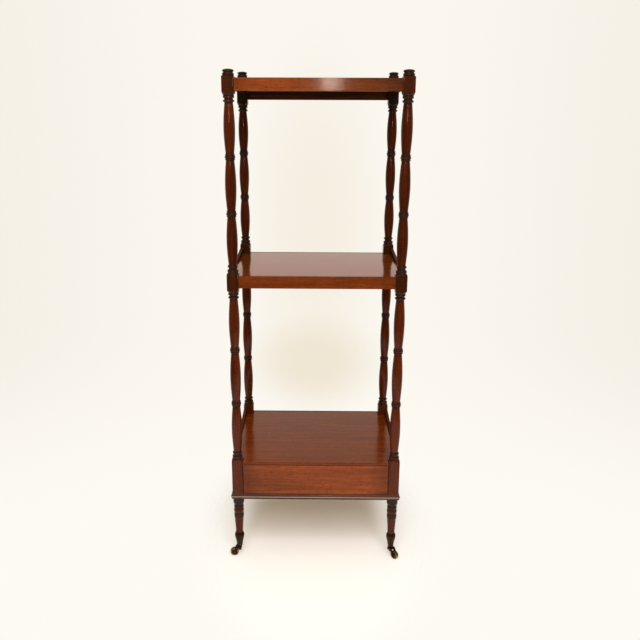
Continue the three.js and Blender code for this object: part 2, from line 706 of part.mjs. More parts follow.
// Along a side: cut at 45 degrees at the front and square at the back
function sideMouldingGeometry(side) {
  const outline = mouldingSection().map(([out, up]) => [side * (OUTER_X + out), up]);
  const geometry = extrudeAlongY(side > 0 ? outline : outline.reverse(), -OUTER_Y, OUTER_Y);
  const place = geometry.getAttribute('position');
  for (let i = 0; i < place.count; i += 1) {
    const out = Math.abs(place.getX(i)) - OUTER_X;
    if (place.getY(i) < 0) place.setY(i, -OUTER_Y - out + FIT / 2);
  }
  return geometry;
}

// Drawer

const DRAWER_HALF = INNER_X - DRAWER_FRONT_GAP;
const DRAWER_FRONT_LOW = FRONT_RAIL_TOP_Z + DRAWER_FRONT_GAP;
const DRAWER_FRONT_HIGH = BASE_BOARD_UNDERSIDE_Z - DRAWER_FRONT_GAP;
const DRAWER_LOW = FRONT_RAIL_TOP_Z + FIT;
const DRAWER_SIDE_TOP = DRAWER_LOW + DRAWER_SIDE_HEIGHT;
const DRAWER_REAR = OUTER_Y - BACK_PANEL_SETBACK - BACK_PANEL_THICKNESS - DRAWER_REAR_GAP;
const DRAWER_BACK_SPAN = [
  DRAWER_REAR - DRAWER_BACK_INSET - DRAWER_BACK_THICKNESS,
  DRAWER_REAR - DRAWER_BACK_INSET,
];
const DRAWER_BOTTOM_LOW = DRAWER_LOW + DRAWER_BOTTOM_RISE;
const DRAWER_BOTTOM_HIGH = DRAWER_BOTTOM_LOW + DRAWER_BOTTOM_THICKNESS;

// The tails on the front end of a drawer side, in Y and Z, wider at their tips
function tailOutline(index, grow) {
  const low = DRAWER_FRONT_LOW + FIT;
  const pitch = (DRAWER_SIDE_TOP - low) / DOVETAIL_COUNT;
  const middle = low + pitch * (index + 1 / 2);
  const tip = -OUTER_Y + DRAWER_LAP - grow;
  const root = -OUTER_Y + DRAWER_FRONT_THICKNESS + CUT_OVERRUN;
  const tipHalf = pitch * DOVETAIL_TIP_SHARE / 2 + grow;
  const rootHalf = pitch * DOVETAIL_ROOT_SHARE / 2 + grow;
  return [
    [tip, middle - tipHalf],
    [root, middle - rootHalf],
    [root, middle + rootHalf],
    [tip, middle + tipHalf],
  ];
}

function tails(side, grow) {
  const span = mirrored(side, DRAWER_HALF, [-grow, DRAWER_SIDE_THICKNESS + grow]);
  const list = [];
  for (let index = 0; index < DOVETAIL_COUNT; index += 1) {
    list.push(extrudeAlongX(tailOutline(index, grow), span[0], span[1]));
  }
  return list;
}

function drawerFrontGeometry() {
  const across = [-DRAWER_HALF, DRAWER_HALF];
  const through = [-OUTER_Y, -OUTER_Y + DRAWER_FRONT_THICKNESS];
  const blank = slab(across, through, [DRAWER_FRONT_LOW, DRAWER_FRONT_HIGH]);
  const reach = DRAWER_HALF - DRAWER_SIDE_THICKNESS + DRAWER_GROOVE + FIT;
  const groove = slab(
    [-reach, reach],
    [through[1] - DRAWER_GROOVE - FIT, through[1] + CUT_OVERRUN],
    [DRAWER_BOTTOM_LOW - FIT, DRAWER_BOTTOM_HIGH + FIT],
  );
  return cutFrom(blank, [groove, ...tails(-1, FIT), ...tails(1, FIT)]);
}

function drawerSideGeometry(side) {
  const across = mirrored(side, DRAWER_HALF, [0, DRAWER_SIDE_THICKNESS]);
  const start = -OUTER_Y + DRAWER_FRONT_THICKNESS + FIT;
  const blank = slab(across, [start, DRAWER_REAR], [DRAWER_LOW, DRAWER_SIDE_TOP]);
  const board = joined([blank, ...tails(side, 0)]);
  const inner = DRAWER_SIDE_THICKNESS + CUT_OVERRUN;
  const groove = slab(
    mirrored(side, DRAWER_HALF, [DRAWER_SIDE_THICKNESS - DRAWER_GROOVE - FIT, inner]),
    [-OUTER_Y, DRAWER_REAR + CUT_OVERRUN],
    [DRAWER_BOTTOM_LOW - FIT, DRAWER_BOTTOM_HIGH + FIT],
  );
  const housing = slab(
    mirrored(side, DRAWER_HALF, [DRAWER_SIDE_THICKNESS - DRAWER_HOUSING - FIT, inner]),
    grown(DRAWER_BACK_SPAN, FIT),
    [DRAWER_BOTTOM_LOW - FIT, DRAWER_SIDE_TOP + CUT_OVERRUN],
  );
  return cutFrom(board, [groove, housing]);
}

function drawerBackGeometry() {
  const reach = DRAWER_HALF - DRAWER_SIDE_THICKNESS + DRAWER_HOUSING;
  const up = [DRAWER_BOTTOM_HIGH + FIT, DRAWER_SIDE_TOP - DRAWER_BACK_DROP];
  return slab([-reach, reach], DRAWER_BACK_SPAN, up);
}

function drawerBottomGeometry() {
  const reach = DRAWER_HALF - DRAWER_SIDE_THICKNESS + DRAWER_GROOVE;
  const front = -OUTER_Y + DRAWER_FRONT_THICKNESS - DRAWER_GROOVE;
  return slab([-reach, reach], [front, DRAWER_BACK_SPAN[1]], [DRAWER_BOTTOM_LOW, DRAWER_BOTTOM_HIGH]);
}

// Legs and casters

function legGeometry() {
  const discLow = BASE_UNDERSIDE_Z - LEG_DISC_HEIGHT;
  const collarHigh = discLow - LEG_DISC_GROOVE_HEIGHT;
  const collarLow = collarHigh - LEG_COLLAR_HEIGHT;
  const ringHigh = collarLow - LEG_COLLAR_GROOVE_HEIGHT;
  const ringLow = ringHigh - LEG_RING_HEIGHT;
  const bandHigh = ringLow - LEG_RING_GROOVE_HEIGHT;
  const dowelTop = BASE_UNDERSIDE_Z + LEG_DOWEL_LENGTH;
  return turned([
    [0, SPIGOT_END_Z],
    [SPIGOT_END_RADIUS, SPIGOT_END_Z],
    [SPIGOT_TOP_RADIUS, CUP_TOP_Z],
    [LEG_ANKLE_RADIUS, CUP_TOP_Z + FIT],
    ...beadPoints(bandHigh - LEG_BAND_HEIGHT, bandHigh, SHOULDER_RADIUS, LEG_COLLAR_RADIUS),
    [LEG_GROOVE_RADIUS, (bandHigh + ringLow) / 2],
    ...beadPoints(ringLow, ringHigh, SHOULDER_RADIUS, LEG_RING_RADIUS),
    [LEG_GROOVE_RADIUS, (ringHigh + collarLow) / 2],
    ...beadPoints(collarLow, collarHigh, SHOULDER_RADIUS, LEG_COLLAR_RADIUS),
    [LEG_GROOVE_RADIUS, (collarHigh + discLow) / 2],
    [LEG_DISC_RADIUS, discLow],
    [LEG_DISC_RADIUS, BASE_UNDERSIDE_Z],
    [LEG_DOWEL_RADIUS, BASE_UNDERSIDE_Z],
    [LEG_DOWEL_RADIUS, dowelTop],
    [0, dowelTop],
  ]);
}

// The radius of the leg's spigot at a height inside the cup
function spigotRadius(height) {
  const along = (height - SPIGOT_END_Z) / (CUP_TOP_Z - SPIGOT_END_Z);
  return SPIGOT_END_RADIUS + (SPIGOT_TOP_RADIUS - SPIGOT_END_RADIUS) * along;
}

function cupGeometry() {
  return turned([
    [PIN_HOLE_RADIUS, CUP_BOTTOM_Z],
    [CUP_BOTTOM_RADIUS, CUP_BOTTOM_Z],
    [CUP_WAIST_RADIUS, CUP_WAIST_Z],
    [CUP_LIP_SHOULDER_RADIUS, CUP_LIP_LOW_Z],
    [CUP_LIP_RADIUS, CUP_LIP_Z],
    [CUP_LIP_SHOULDER_RADIUS, CUP_LIP_TOP_Z],
    [CUP_TOP_RADIUS, CUP_TOP_Z],
    [spigotRadius(CUP_TOP_Z) + FIT, CUP_TOP_Z],
    [spigotRadius(SPIGOT_END_Z) + FIT, SPIGOT_END_Z],
    [spigotRadius(SPIGOT_END_Z) + FIT, CUP_FLOOR_Z],
    [PIN_HOLE_RADIUS, CUP_FLOOR_Z],
    [PIN_HOLE_RADIUS, CUP_BOTTOM_Z],
  ]);
}

// One arm of the fork, in X and Z: from the crown down to a round eye about the axle
function armOutline() {
  const outline = [
    [-CROWN_BACK, CROWN_BOTTOM_Z],
    [CROWN_REACH * ARM_KNEE_SHARE, CROWN_BOTTOM_Z],
  ];
  for (let step = 0; step <= EYE_STEPS; step += 1) {
    const angle = Math.PI * (EYE_START_SHARE + (step / EYE_STEPS) * EYE_TURN_SHARE);
    outline.push([TRAIL + ARM_EYE_RADIUS * Math.cos(angle), WHEEL_RADIUS + ARM_EYE_RADIUS * Math.sin(angle)]);
  }
  outline.push([CROWN_REACH + ARM_THICKNESS, CROWN_TOP_Z], [-CROWN_BACK, CROWN_TOP_Z]);
  return outline;
}

function forkGeometry() {
  const headLow = CUP_FLOOR_Z + 2 * FIT;
  const pin = turned([
    [0, BOSS_TIP_Z],
    [BOSS_TIP_RADIUS, BOSS_TIP_Z],
    [BOSS_RADIUS, CROWN_TOP_Z - BOSS_SHOULDER_DEPTH],
    [BOSS_RADIUS, BOSS_TOP_Z],
    [PIN_RADIUS, BOSS_TOP_Z],
    [PIN_RADIUS, headLow],
    [PIN_HEAD_RADIUS, headLow],
    [PIN_HEAD_RADIUS, headLow + PIN_HEAD_HEIGHT],
    [0, headLow + PIN_HEAD_HEIGHT],
  ]);
  const across = [-FORK_WIDTH / 2, FORK_WIDTH / 2];
  const crown = slab([-CROWN_BACK, CROWN_REACH], across, [CROWN_BOTTOM_Z, CROWN_TOP_Z]);
  const arms = extrudeAlongY(armOutline(), across[0], across[1]);
  const gap = slab(
    [-CROWN_BACK - CUT_OVERRUN, TRAIL + WHEEL_RADIUS],
    [-FORK_GAP / 2, FORK_GAP / 2],
    [0, CROWN_TOP_Z + CUT_OVERRUN],
  );
  const bore = axleCylinder(AXLE_RADIUS + FIT, FORK_WIDTH + CUT_OVERRUN);
  const sides = cutFrom(arms, [gap, bore]);
  return joined([sides, crown, pin]);
}

// A cylinder along Y about the axle
function axleCylinder(radius, length) {
  const cylinder = new THREE.CylinderGeometry(radius, radius, length, TURNING_SIDES);
  return cylinder.translate(TRAIL, 0, WHEEL_RADIUS);
}

function axleGeometry() {
  const inner = FORK_WIDTH / 2 + FIT;
  const outer = inner + AXLE_HEAD_HEIGHT;
  const profile = [
    [0, -outer],
    [AXLE_HEAD_RADIUS, -outer],
    [AXLE_HEAD_RADIUS, -inner],
    [AXLE_RADIUS, -inner],
    [AXLE_RADIUS, inner],
    [AXLE_HEAD_RADIUS, inner],
    [AXLE_HEAD_RADIUS, outer],
    [0, outer],
  ];
  const points = profile.map(([radius, across]) => new THREE.Vector2(radius, across));
  return new THREE.LatheGeometry(points, TURNING_SIDES).translate(TRAIL, 0, WHEEL_RADIUS);
}

// The wheel is a little barrel with sunk webs, and a flat of its rim is on the floor
function wheelGeometry() {
  const half = WHEEL_WIDTH / 2;
  const rim = WHEEL_RADIUS / Math.cos(Math.PI / WHEEL_SIDES);
  const bore = AXLE_RADIUS + FIT;
  const web = half - WHEEL_WEB_DEPTH;
  const webRadius = rim - WHEEL_EDGE - WHEEL_WEB_DEPTH;
  const profile = [
    [bore, -half],
    [WHEEL_HUB_RADIUS, -half],
    [WHEEL_HUB_RADIUS, -web],
    [webRadius, -web],
    [webRadius, -half],
    [rim - WHEEL_EDGE, -half],
    [rim, WHEEL_EDGE - half],
    [rim, half - WHEEL_EDGE],
    [rim - WHEEL_EDGE, half],
    [webRadius, half],
    [webRadius, web],
    [WHEEL_HUB_RADIUS, web],
    [WHEEL_HUB_RADIUS, half],
    [bore, half],
    [bore, -half],
  ];
  const points = profile.map(([radius, across]) => new THREE.Vector2(radius, across));
  const wheel = new THREE.LatheGeometry(points, WHEEL_SIDES);
  return wheel.rotateY(Math.PI / WHEEL_SIDES).translate(TRAIL, 0, WHEEL_RADIUS);
}

// Assembly

function shelfFrame(tier, front, back, sides, shelf) {
  const group = new THREE.Group();
  const land = GALLERY_THICKNESS;
  const halfWidth = OUTER_X - land - FIT;
  const halfDepth = OUTER_Y - land - FIT;
  const board = boardGeometry(shelf - BOARD_THICKNESS, shelf, halfWidth, -halfDepth, halfDepth);
  group.add(
    piece(`${tier}_board`, board, POLISHED_BOARD),
    piece(`${tier}_front_rail`, tenonedRailX(-1, front, land, BOARD_THICKNESS), POLISHED_RAIL),
    piece(`${tier}_back_rail`, tenonedRailX(1, back, land, BOARD_THICKNESS), DARK_MAHOGANY),
    piece(`${tier}_left_rail`, tenonedRailY(-1, sides, land, BOARD_THICKNESS), POLISHED_RAIL),
    piece(`${tier}_right_rail`, tenonedRailY(1, sides, land, BOARD_THICKNESS), POLISHED_RAIL),
    piece(`${tier}_left_gallery`, galleryGeometry(-1, shelf), DARK_MAHOGANY),
    piece(`${tier}_right_gallery`, galleryGeometry(1, shelf), DARK_MAHOGANY),
  );
  return group;
}

function baseFrame() {
  const group = new THREE.Group();
  const land = GALLERY_THICKNESS;
  const thickness = BASE_BOARD_THICKNESS;
  const halfWidth = OUTER_X - land - FIT;
  const back = OUTER_Y - BACK_PANEL_SETBACK - BACK_PANEL_LAND - FIT;
  const board = boardGeometry(BASE_BOARD_UNDERSIDE_Z, BASE_SHELF_Z, halfWidth, -OUTER_Y, back);
  const backPanel = tenonedRailX(1, TENONED.back, BACK_PANEL_LAND, thickness);
  group.add(
    piece('base_board', board, POLISHED_BOARD),
    piece('base_left_panel', tenonedRailY(-1, TENONED.side, land, thickness), POLISHED_RAIL),
    piece('base_right_panel', tenonedRailY(1, TENONED.side, land, thickness), POLISHED_RAIL),
    piece('base_back_panel', backPanel, DARK_MAHOGANY),
    piece('base_front_rail', frontRailGeometry(), DARK_MAHOGANY),
    piece('base_left_gallery', galleryGeometry(-1, BASE_SHELF_Z), DARK_MAHOGANY),
    piece('base_right_gallery', galleryGeometry(1, BASE_SHELF_Z), DARK_MAHOGANY),
    piece('drawer_runner_left', runnerGeometry(-1), BARE_LINING),
    piece('drawer_runner_right', runnerGeometry(1), BARE_LINING),
    piece('base_moulding_front', frontMouldingGeometry(), POLISHED_RAIL),
    piece('base_moulding_left', sideMouldingGeometry(-1), POLISHED_RAIL),
    piece('base_moulding_right', sideMouldingGeometry(1), POLISHED_RAIL),
  );
  return group;
}

function drawer() {
  const group = new THREE.Group();
  group.add(
    piece('drawer_front', drawerFrontGeometry(), POLISHED_RAIL),
    piece('drawer_left_side', drawerSideGeometry(-1), BARE_LINING),
    piece('drawer_right_side', drawerSideGeometry(1), BARE_LINING),
    piece('drawer_back', drawerBackGeometry(), BARE_LINING),
    piece('drawer_bottom', drawerBottomGeometry(), BARE_LINING),
  );
  return group;
}

// Everything on one corner's centre line: post, finial, leg and caster
function cornerStack(corner) {
  const group = new THREE.Group();
  group.position.set(corner.sideX * HALF_X, corner.sideY * HALF_Y, 0);
  group.add(
    piece(`${corner.name}_post`, postGeometry(corner), POLISHED_TURNING),
    piece(`${corner.name}_finial`, finialGeometry(blocksOf(corner).top.high), DARK_MAHOGANY),
    piece(`${corner.name}_leg`, legGeometry(), POLISHED_TURNING),
    piece(`${corner.name}_caster_cup`, cupGeometry(), AGED_BRASS),
  );
  const caster = new THREE.Group();
  caster.rotation.z = Math.PI * corner.turnShare;
  caster.add(
    piece(`${corner.name}_caster_fork`, forkGeometry(), AGED_BRASS),
    piece(`${corner.name}_caster_axle`, axleGeometry(), AGED_BRASS),
    piece(`${corner.name}_caster_wheel`, wheelGeometry(), WORN_BRASS),
  );
  group.add(caster);
  return group;
}

const etagere = new THREE.Group();
CORNERS.forEach((corner) => etagere.add(cornerStack(corner)));
etagere.add(
  shelfFrame('top', TENONED.topFront, TENONED.topBack, TENONED.topSide, TOP_SHELF_Z),
  shelfFrame('mid', TENONED.mid, TENONED.mid, TENONED.mid, MID_SHELF_Z),
  baseFrame(),
  drawer(),
);

export default etagere;
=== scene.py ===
import math
from functools import partial

import bmesh
import bpy
from bpy.props import FloatProperty, FloatVectorProperty, IntProperty, PointerProperty
from mathutils import Matrix, Vector


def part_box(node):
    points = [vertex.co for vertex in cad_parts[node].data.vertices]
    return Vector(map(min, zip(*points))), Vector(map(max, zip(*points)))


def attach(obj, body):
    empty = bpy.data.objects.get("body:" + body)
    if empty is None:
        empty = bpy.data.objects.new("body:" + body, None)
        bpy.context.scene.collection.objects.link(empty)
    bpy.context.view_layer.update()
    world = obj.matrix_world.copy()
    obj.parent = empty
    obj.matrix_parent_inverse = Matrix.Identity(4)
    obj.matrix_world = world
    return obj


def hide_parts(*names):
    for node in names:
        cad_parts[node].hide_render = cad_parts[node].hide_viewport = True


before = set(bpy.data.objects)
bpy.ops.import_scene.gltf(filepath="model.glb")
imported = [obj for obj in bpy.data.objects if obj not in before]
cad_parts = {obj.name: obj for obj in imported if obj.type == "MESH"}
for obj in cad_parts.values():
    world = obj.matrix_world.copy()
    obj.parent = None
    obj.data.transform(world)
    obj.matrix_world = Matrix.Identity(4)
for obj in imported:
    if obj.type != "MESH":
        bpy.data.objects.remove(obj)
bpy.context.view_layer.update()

bl_info = {
    "name": "Mahogany Whatnot",
    "version": (1, 0, 0),
    "blender": (4, 5, 0),
    "location": "View3D > Sidebar > Whatnot",
    "description": "Makes the visible pieces of a three tier whatnot on the solids of its packed model",
    "category": "Add Mesh",
}

MM = 0.001

# Where the post centres are, and where the shelves and blocks are on them, in millimetres
HALF_X = 200.0
HALF_Y = 157.0
HALF_SQUARE = 14.0
OUTER_X = HALF_X + HALF_SQUARE
OUTER_Y = HALF_Y + HALF_SQUARE
INNER_Y = HALF_Y - HALF_SQUARE
TOP_SHELF = 1205.0
MID_SHELF = 761.0
BASE_SHELF = 278.0
UNDERSIDE = 175.0

# Where each post stands, and the way in which its caster trails at rest, in half turns from +X
CORNERS = {
    "front_left": (-HALF_X, -HALF_Y, 1.0),
    "front_right": (HALF_X, -HALF_Y, -0.25),
    "rear_left": (-HALF_X, HALF_Y, 0.75),
    "rear_right": (HALF_X, HALF_Y, 0.0),
}

# Lowest and highest point of the square blocks of a front and a rear post, in millimetres
BLOCKS = {
    "front": {"base": (175.0, 285.3), "mid": (717.0, 767.3), "top": (1167.0, 1208.8)},
    "rear": {"base": (175.0, 309.0), "mid": (717.0, 789.5), "top": (1156.5, 1228.1)},
}

# Turns that bring the run of the grain to the X axis of a pattern
GRAIN_TURNS = {
    "x": (0.0, 0.0, 0.0),
    "y": (0.0, 0.0, -math.pi / 2),
    "z": (0.0, math.pi / 2, 0.0),
}


def linear(hex_colour):
    """The linear colour of an sRGB colour written as a hash and six hex digits."""
    shares = [int(hex_colour[i:i + 2], 16) / 255 for i in (1, 3, 5)]
    return tuple(s / 12.92 if s <= 0.04045 else ((s + 0.055) / 1.055) ** 2.4 for s in shares)


def opaque(colour):
    return (*colour, 1.0)


# What a user may change


def millimetres(name, description, usual, least, most):
    return FloatProperty(
        name=name, description=description, default=usual * MM, min=least * MM, max=most * MM, unit="LENGTH")


def watts(name, description, usual, most):
    return FloatProperty(name=name, description=description, default=usual, min=0, max=most, unit="POWER")


def tint(name, description, hex_colour):
    return FloatVectorProperty(
        name=name, description=description, default=linear(hex_colour), min=0, max=1, subtype="COLOR")


class WhatnotSizes(bpy.types.PropertyGroup):
    """Sizes of the turning, the softened edges, the fittings and the studio"""

    neck_radius: millimetres("Neck radius", "Thinnest place of a post, beside its rings", 9.9, 6, 12)
    ring_radius: millimetres("Ring radius", "Ring under each block", 12.9, 8, 14)
    baluster_radius: millimetres(
        "Baluster radius", "Widest place of each swelling length of a post", 13.2, 8, 14)
    bead_radius: millimetres("Bead radius", "Large bead where two swelling lengths meet", 12.4, 8, 14)
    side_bead_radius: millimetres(
        "Small bead radius", "Small beads above and below the large one", 11.5, 8, 14)
    block_arris: millimetres(
        "Block arris", "How much the corners of the square blocks are worn round", 0.5, 0.1, 2)
    arris: millimetres("Arris", "Width of the softened edges of rails, panels and boards", 0.45, 0.1, 2)
    board_arris: millimetres(
        "Base board arris", "Width of the worn front edge of the base board", 1.1, 0.1, 3)
    gallery_front: millimetres("Gallery front", "Height of a side gallery at the front post", 4, 1, 10)
    gallery_rear: millimetres("Gallery rear", "Height of a side gallery at the rear post", 16, 5, 16)
    moulding_out: millimetres("Moulding projection", "How far the base moulding stands out", 3.4, 1, 3.4)
    wheel_radius: millimetres("Wheel radius", "Radius of the caster wheels", 11, 8, 11)
    screw_radius: millimetres(
        "Screw head radius", "Heads of the screws that hold the caster cups", 1.5, 0.8, 2.5)
    screws_per_cup: IntProperty(
        name="Screws per cup", description="Screws round each caster cup",
        default=4, min=2, max=8)
    front_power: watts("Front power", "Power of the large soft light round the camera", 62, 400)
    top_power: watts("Top power", "Power of the large soft light overhead", 14, 400)
    catch_power: watts("Catch light power", "Power of the narrow light that the polish mirrors", 4.8, 20)


class WhatnotColours(bpy.types.PropertyGroup):
    """Colours of the woods, the brass and the studio"""

    rail_light: tint("Rail light", "Light bands of the rails and the drawer front", "#7c3b17")
    rail_dark: tint("Rail dark", "Dark bands of the rails and the drawer front", "#662f12")
    middle_light: tint("Middle rail light", "Light bands of the darker rail of the middle shelf", "#672e0e")
    middle_dark: tint("Middle rail dark", "Dark bands of the darker rail of the middle shelf", "#58250b")
    board_light: tint("Board light", "Light bands of the lower shelf", "#712e03")
    board_dark: tint("Board dark", "Dark bands of the lower shelf", "#5f2502")
    # Lighter copies of the board colours for the two upper shelves: painted light for the brighter middle
    # shelf
    lightened_light: tint(
        "Lit board light", "Light bands of the two upper shelves, lightened as painted light", "#773b0a")
    lightened_dark: tint("Lit board dark", "Dark bands of the two upper shelves, lightened as painted light", "#6c3308")
    post_light: tint("Post light", "Light bands of the turned posts and legs", "#471a06")
    post_dark: tint("Post dark", "Dark bands of the turned posts and legs", "#2f1003")
    # Darker colours laid as painted shade on undersides, inner faces, back rails, galleries and mouldings
    shade_light: tint(
        "Shaded light", "Light bands of the painted shade on undersides, mouldings, galleries and back rails", "#522a16")
    shade_dark: tint(
        "Shaded dark", "Dark bands of the painted shade on undersides, mouldings, galleries and back rails", "#351b0d")
    stain: tint("Stain", "The colour in which the rubbed fibres of the shelves shine", "#ff9527")
    # Old polish and dirt, and painted shade: it darkens the grooves, the bead groups, the blocks, the
    # finials, the tops of the legs and the right end of the top rail
    dirt_and_painted_light: tint("Old polish and painted shade", "Old polish and dirt, with painted shade in the grooves, bead groups and on the blocks", "#20160f")
    dust_and_highlight: tint("Dust and highlight", "Pale dust and a painted highlight along the crest of the base moulding", "#b8a99e")
    pore: tint("Pore", "Open pores of the mahogany, filled with dark polish", "#2c120a")
    lining_light: tint("Lining light", "Bare wood of the drawer and its runners", "#b08d62")
    lining_dark: tint("Lining dark", "Dark bands of the bare wood", "#8f6c45")
    brass_worn: tint("Worn brass", "Brass where feet and floors have rubbed it", "#b4935f")
    brass_dark: tint("Patina", "Brown patina of the brass", "#3a261a")
    background: tint("Background", "Pale paper behind the piece", "#fbf7ef")
    background_edge: tint("Background edge", "The same paper far to the left and the right", "#f2eee4")
    backdrop_shadow: tint("Painted backdrop shadow", "The same paper straight behind the piece, in its painted shadow", "#f0e6d4")
    floor: tint("Floor", "The paper that the piece stands on", "#fcfaf7")
    paper: tint("Paper", "The sweep of paper where it lies flat, away from the piece", "#fdfaf3")
    bounced: tint("Bounced light", "Weak warm light from all sides", "#fff0d6")


# Nodes


def add_node(tree, kind, inputs=None, **settings):
    """Adds a node with its settings and a value or a link for each input, and gives its outputs."""
    node = tree.nodes.new(kind)
    for key, value in settings.items():
        setattr(node, key, value)
    for key, value in (inputs or {}).items():
        if isinstance(value, bpy.types.NodeSocket):
            tree.links.new(value, node.inputs[key])
        else:
            node.inputs[key].default_value = value
    return node.outputs


def new_material(name, values):
    """A material with these values on its shader's own sockets."""
    material = bpy.data.materials.new(name)
    material.use_nodes = True
    shader = material.node_tree.nodes["Principled BSDF"]
    for key, value in values.items():
        shader.inputs[key].default_value = value
    return material, material.node_tree, shader


def wood_marks(tree, place, grain, marks):
    """A noise for each mark of the wood, stretched along the grain, and the place that it is laid out on.

    A mark is given by its length and width in metres and by its noise's detail, roughness and distortion.
    """
    add = partial(add_node, tree)
    along_grain = add("ShaderNodeMapping", {"Vector": place, "Rotation": GRAIN_TURNS[grain]})[0]
    seen = {}
    for mark, (length, width, detail, roughness, distortion) in marks.items():
        stretched = add("ShaderNodeVectorMath", {
            0: along_grain, 1: (1 / length, 1 / width, 1 / width)}, operation="MULTIPLY")[0]
        seen[mark] = add("ShaderNodeTexNoise", {
            "Vector": stretched, "Scale": 1.0, "Detail": detail, "Roughness": roughness,
            "Distortion": distortion})["Fac"]
    return along_grain, seen


def mahogany(name, grain, light, dark, pore, dirt_and_painted_light, stain, ends, polish, sheen, burnish):
    """Mahogany, planed or turned, stained and French polished.

    The wood gives a straight stripe of light and dark bands with a short mottle across it and dark pores
    along it. The polish is a thin clear film that fills most of the grain, worn so low that it hardly
    shines when looked at straight on, while the shelves still mirror what stands behind them.
    """
    # The film lies on the wood with no air between them, so the wood itself has no gloss. Only on the
    # boards, where the film is rubbed thin, do the stained fibres shine, in the colour of the stain
    material, tree, shader = new_material(name, {
        "Roughness": 0.15 if sheen or burnish else 0.5,
        "Metallic": burnish,
        "Specular IOR Level": sheen,
        "Specular Tint": opaque(stain),
        "Coat Weight": polish,
        "Coat Roughness": 0.1,
        "Coat IOR": 1.25,
    })
    add = partial(add_node, tree)
    place = add("ShaderNodeTexCoord")["Object"]
    # Stripes of interlocked grain 16 mm wide, a mottle 14 mm long, fibres 1.5 mm wide, and pores that are
    # 0.2 mm wide in real wood and drawn at 0.8 mm to show
    along_grain, seen = wood_marks(tree, place, grain, {
        "stripes": (0.300, 0.0160, 3.0, 0.55, 0.6),
        "ribbons": (0.055, 0.0070, 2.0, 0.50, 1.2),
        "mottle": (0.014, 0.0220, 2.0, 0.50, 0.8),
        "fibres": (0.080, 0.0015, 3.0, 0.60, 0.1),
        "pores": (0.011, 0.0008, 1.0, 0.50, 0.0),
    })
    stripes = add("ShaderNodeMapRange", {"Value": seen["stripes"], 1: 0.36, 2: 0.64})[0]
    # Painted light lightens some places past the light bands
    lightened = add("ShaderNodeAttribute", attribute_name="lightened")["Fac"]
    stripes = add("ShaderNodeMath", {0: stripes, 1: lightened}, operation="ADD")[0]
    wood = add("ShaderNodeMix", {
        0: stripes, 6: opaque(dark), 7: opaque(light)}, data_type="RGBA", clamp_factor=False)[2]
    shade = 1.0
    for mark, spread in (("ribbons", 0.13), ("mottle", 0.08), ("fibres", 0.16)):
        seen[mark] = add("ShaderNodeMapRange", {
            "Value": seen[mark], 1: 0.3, 2: 0.7, 3: 1 - spread, 4: 1 + spread})[0]
        shade = add("ShaderNodeMath", {0: seen[mark], 1: shade}, operation="MULTIPLY")[0]
    if ends:
        # The wood is darker near the blocks, from 125 to 190 mm from the middle
        reach = add("ShaderNodeSeparateXYZ", {0: along_grain})["X"]
        reach = add("ShaderNodeMath", {0: reach}, operation="ABSOLUTE")[0]
        ended = add("ShaderNodeMapRange", {
            "Value": reach, 1: 0.125, 2: 0.19, 3: 1.0, 4: 1 - ends}, interpolation_type="SMOOTHSTEP")[0]
        shade = add("ShaderNodeMath", {0: ended, 1: shade}, operation="MULTIPLY")[0]
    wood = add("ShaderNodeVectorMath", {0: wood, "Scale": shade}, operation="SCALE")[0]
    pores = add("ShaderNodeMapRange", {"Value": seen["pores"], 1: 0.58, 2: 0.70, 3: 0.0, 4: 0.6})[0]
    # The share of the laid colour: old polish and painted shade, and on the moulding dust and a painted
    # highlight
    dirt_and_light_share = add("ShaderNodeAttribute", attribute_name="dirt_and_painted_light")["Fac"]
    for share, laid in ((pores, pore), (dirt_and_light_share, dirt_and_painted_light)):
        wood = add("ShaderNodeMix", {0: share, 6: wood, 7: opaque(laid)}, data_type="RGBA")[2]
    tree.links.new(wood, shader.inputs["Base Color"])
    relief = add("ShaderNodeMath", {0: seen["fibres"], 1: pores}, operation="SUBTRACT")[0]
    # The rubbed film is flat to a few hundredths of a millimetre over the width of a hand
    film = add("ShaderNodeTexNoise", {"Vector": place, "Scale": 1 / 0.030, "Detail": 2.0})["Fac"]
    for normal, height, strength, depth in (("Normal", relief, 0.25, 0.15), ("Coat Normal", film, 0.2, 0.35)):
        bump = add("ShaderNodeBump", {"Strength": strength, "Distance": depth * MM, "Height": height})[0]
        tree.links.new(bump, shader.inputs[normal])
    return material


def bare_wood(name, grain, light, dark):
    """Pine and oak as used inside a drawer: planed, never polished, dry and a little dusty, so it is dull."""
    material, tree, shader = new_material(name, {"Roughness": 0.8, "Specular IOR Level": 0.2})
    add = partial(add_node, tree)
    place = add("ShaderNodeTexCoord")["Object"]
    # Growth rings 6 mm apart on the sawn face, fibres 1 mm wide
    _, seen = wood_marks(tree, place, grain, {
        "rings": (0.3, 0.006, 2.0, 0.5, 0.4), "fibres": (0.03, 0.001, 3.0, 0.5, 0.0)})
    banded = add("ShaderNodeMapRange", {"Value": seen["rings"], 1: 0.35, 2: 0.65})[0]
    wood = add("ShaderNodeMix", {0: banded, 6: opaque(dark), 7: opaque(light)}, data_type="RGBA")[2]
    streaks = add("ShaderNodeMapRange", {"Value": seen["fibres"], 1: 0.3, 2: 0.7, 3: 0.85, 4: 1.1})[0]
    wood = add("ShaderNodeVectorMath", {0: wood, "Scale": streaks}, operation="SCALE")[0]
    tree.links.new(wood, shader.inputs["Base Color"])
    bump = add("ShaderNodeBump", {"Strength": 0.4, "Distance": 0.2 * MM, "Height": seen["fibres"]})[0]
    tree.links.new(bump, shader.inputs["Normal"])
    return material


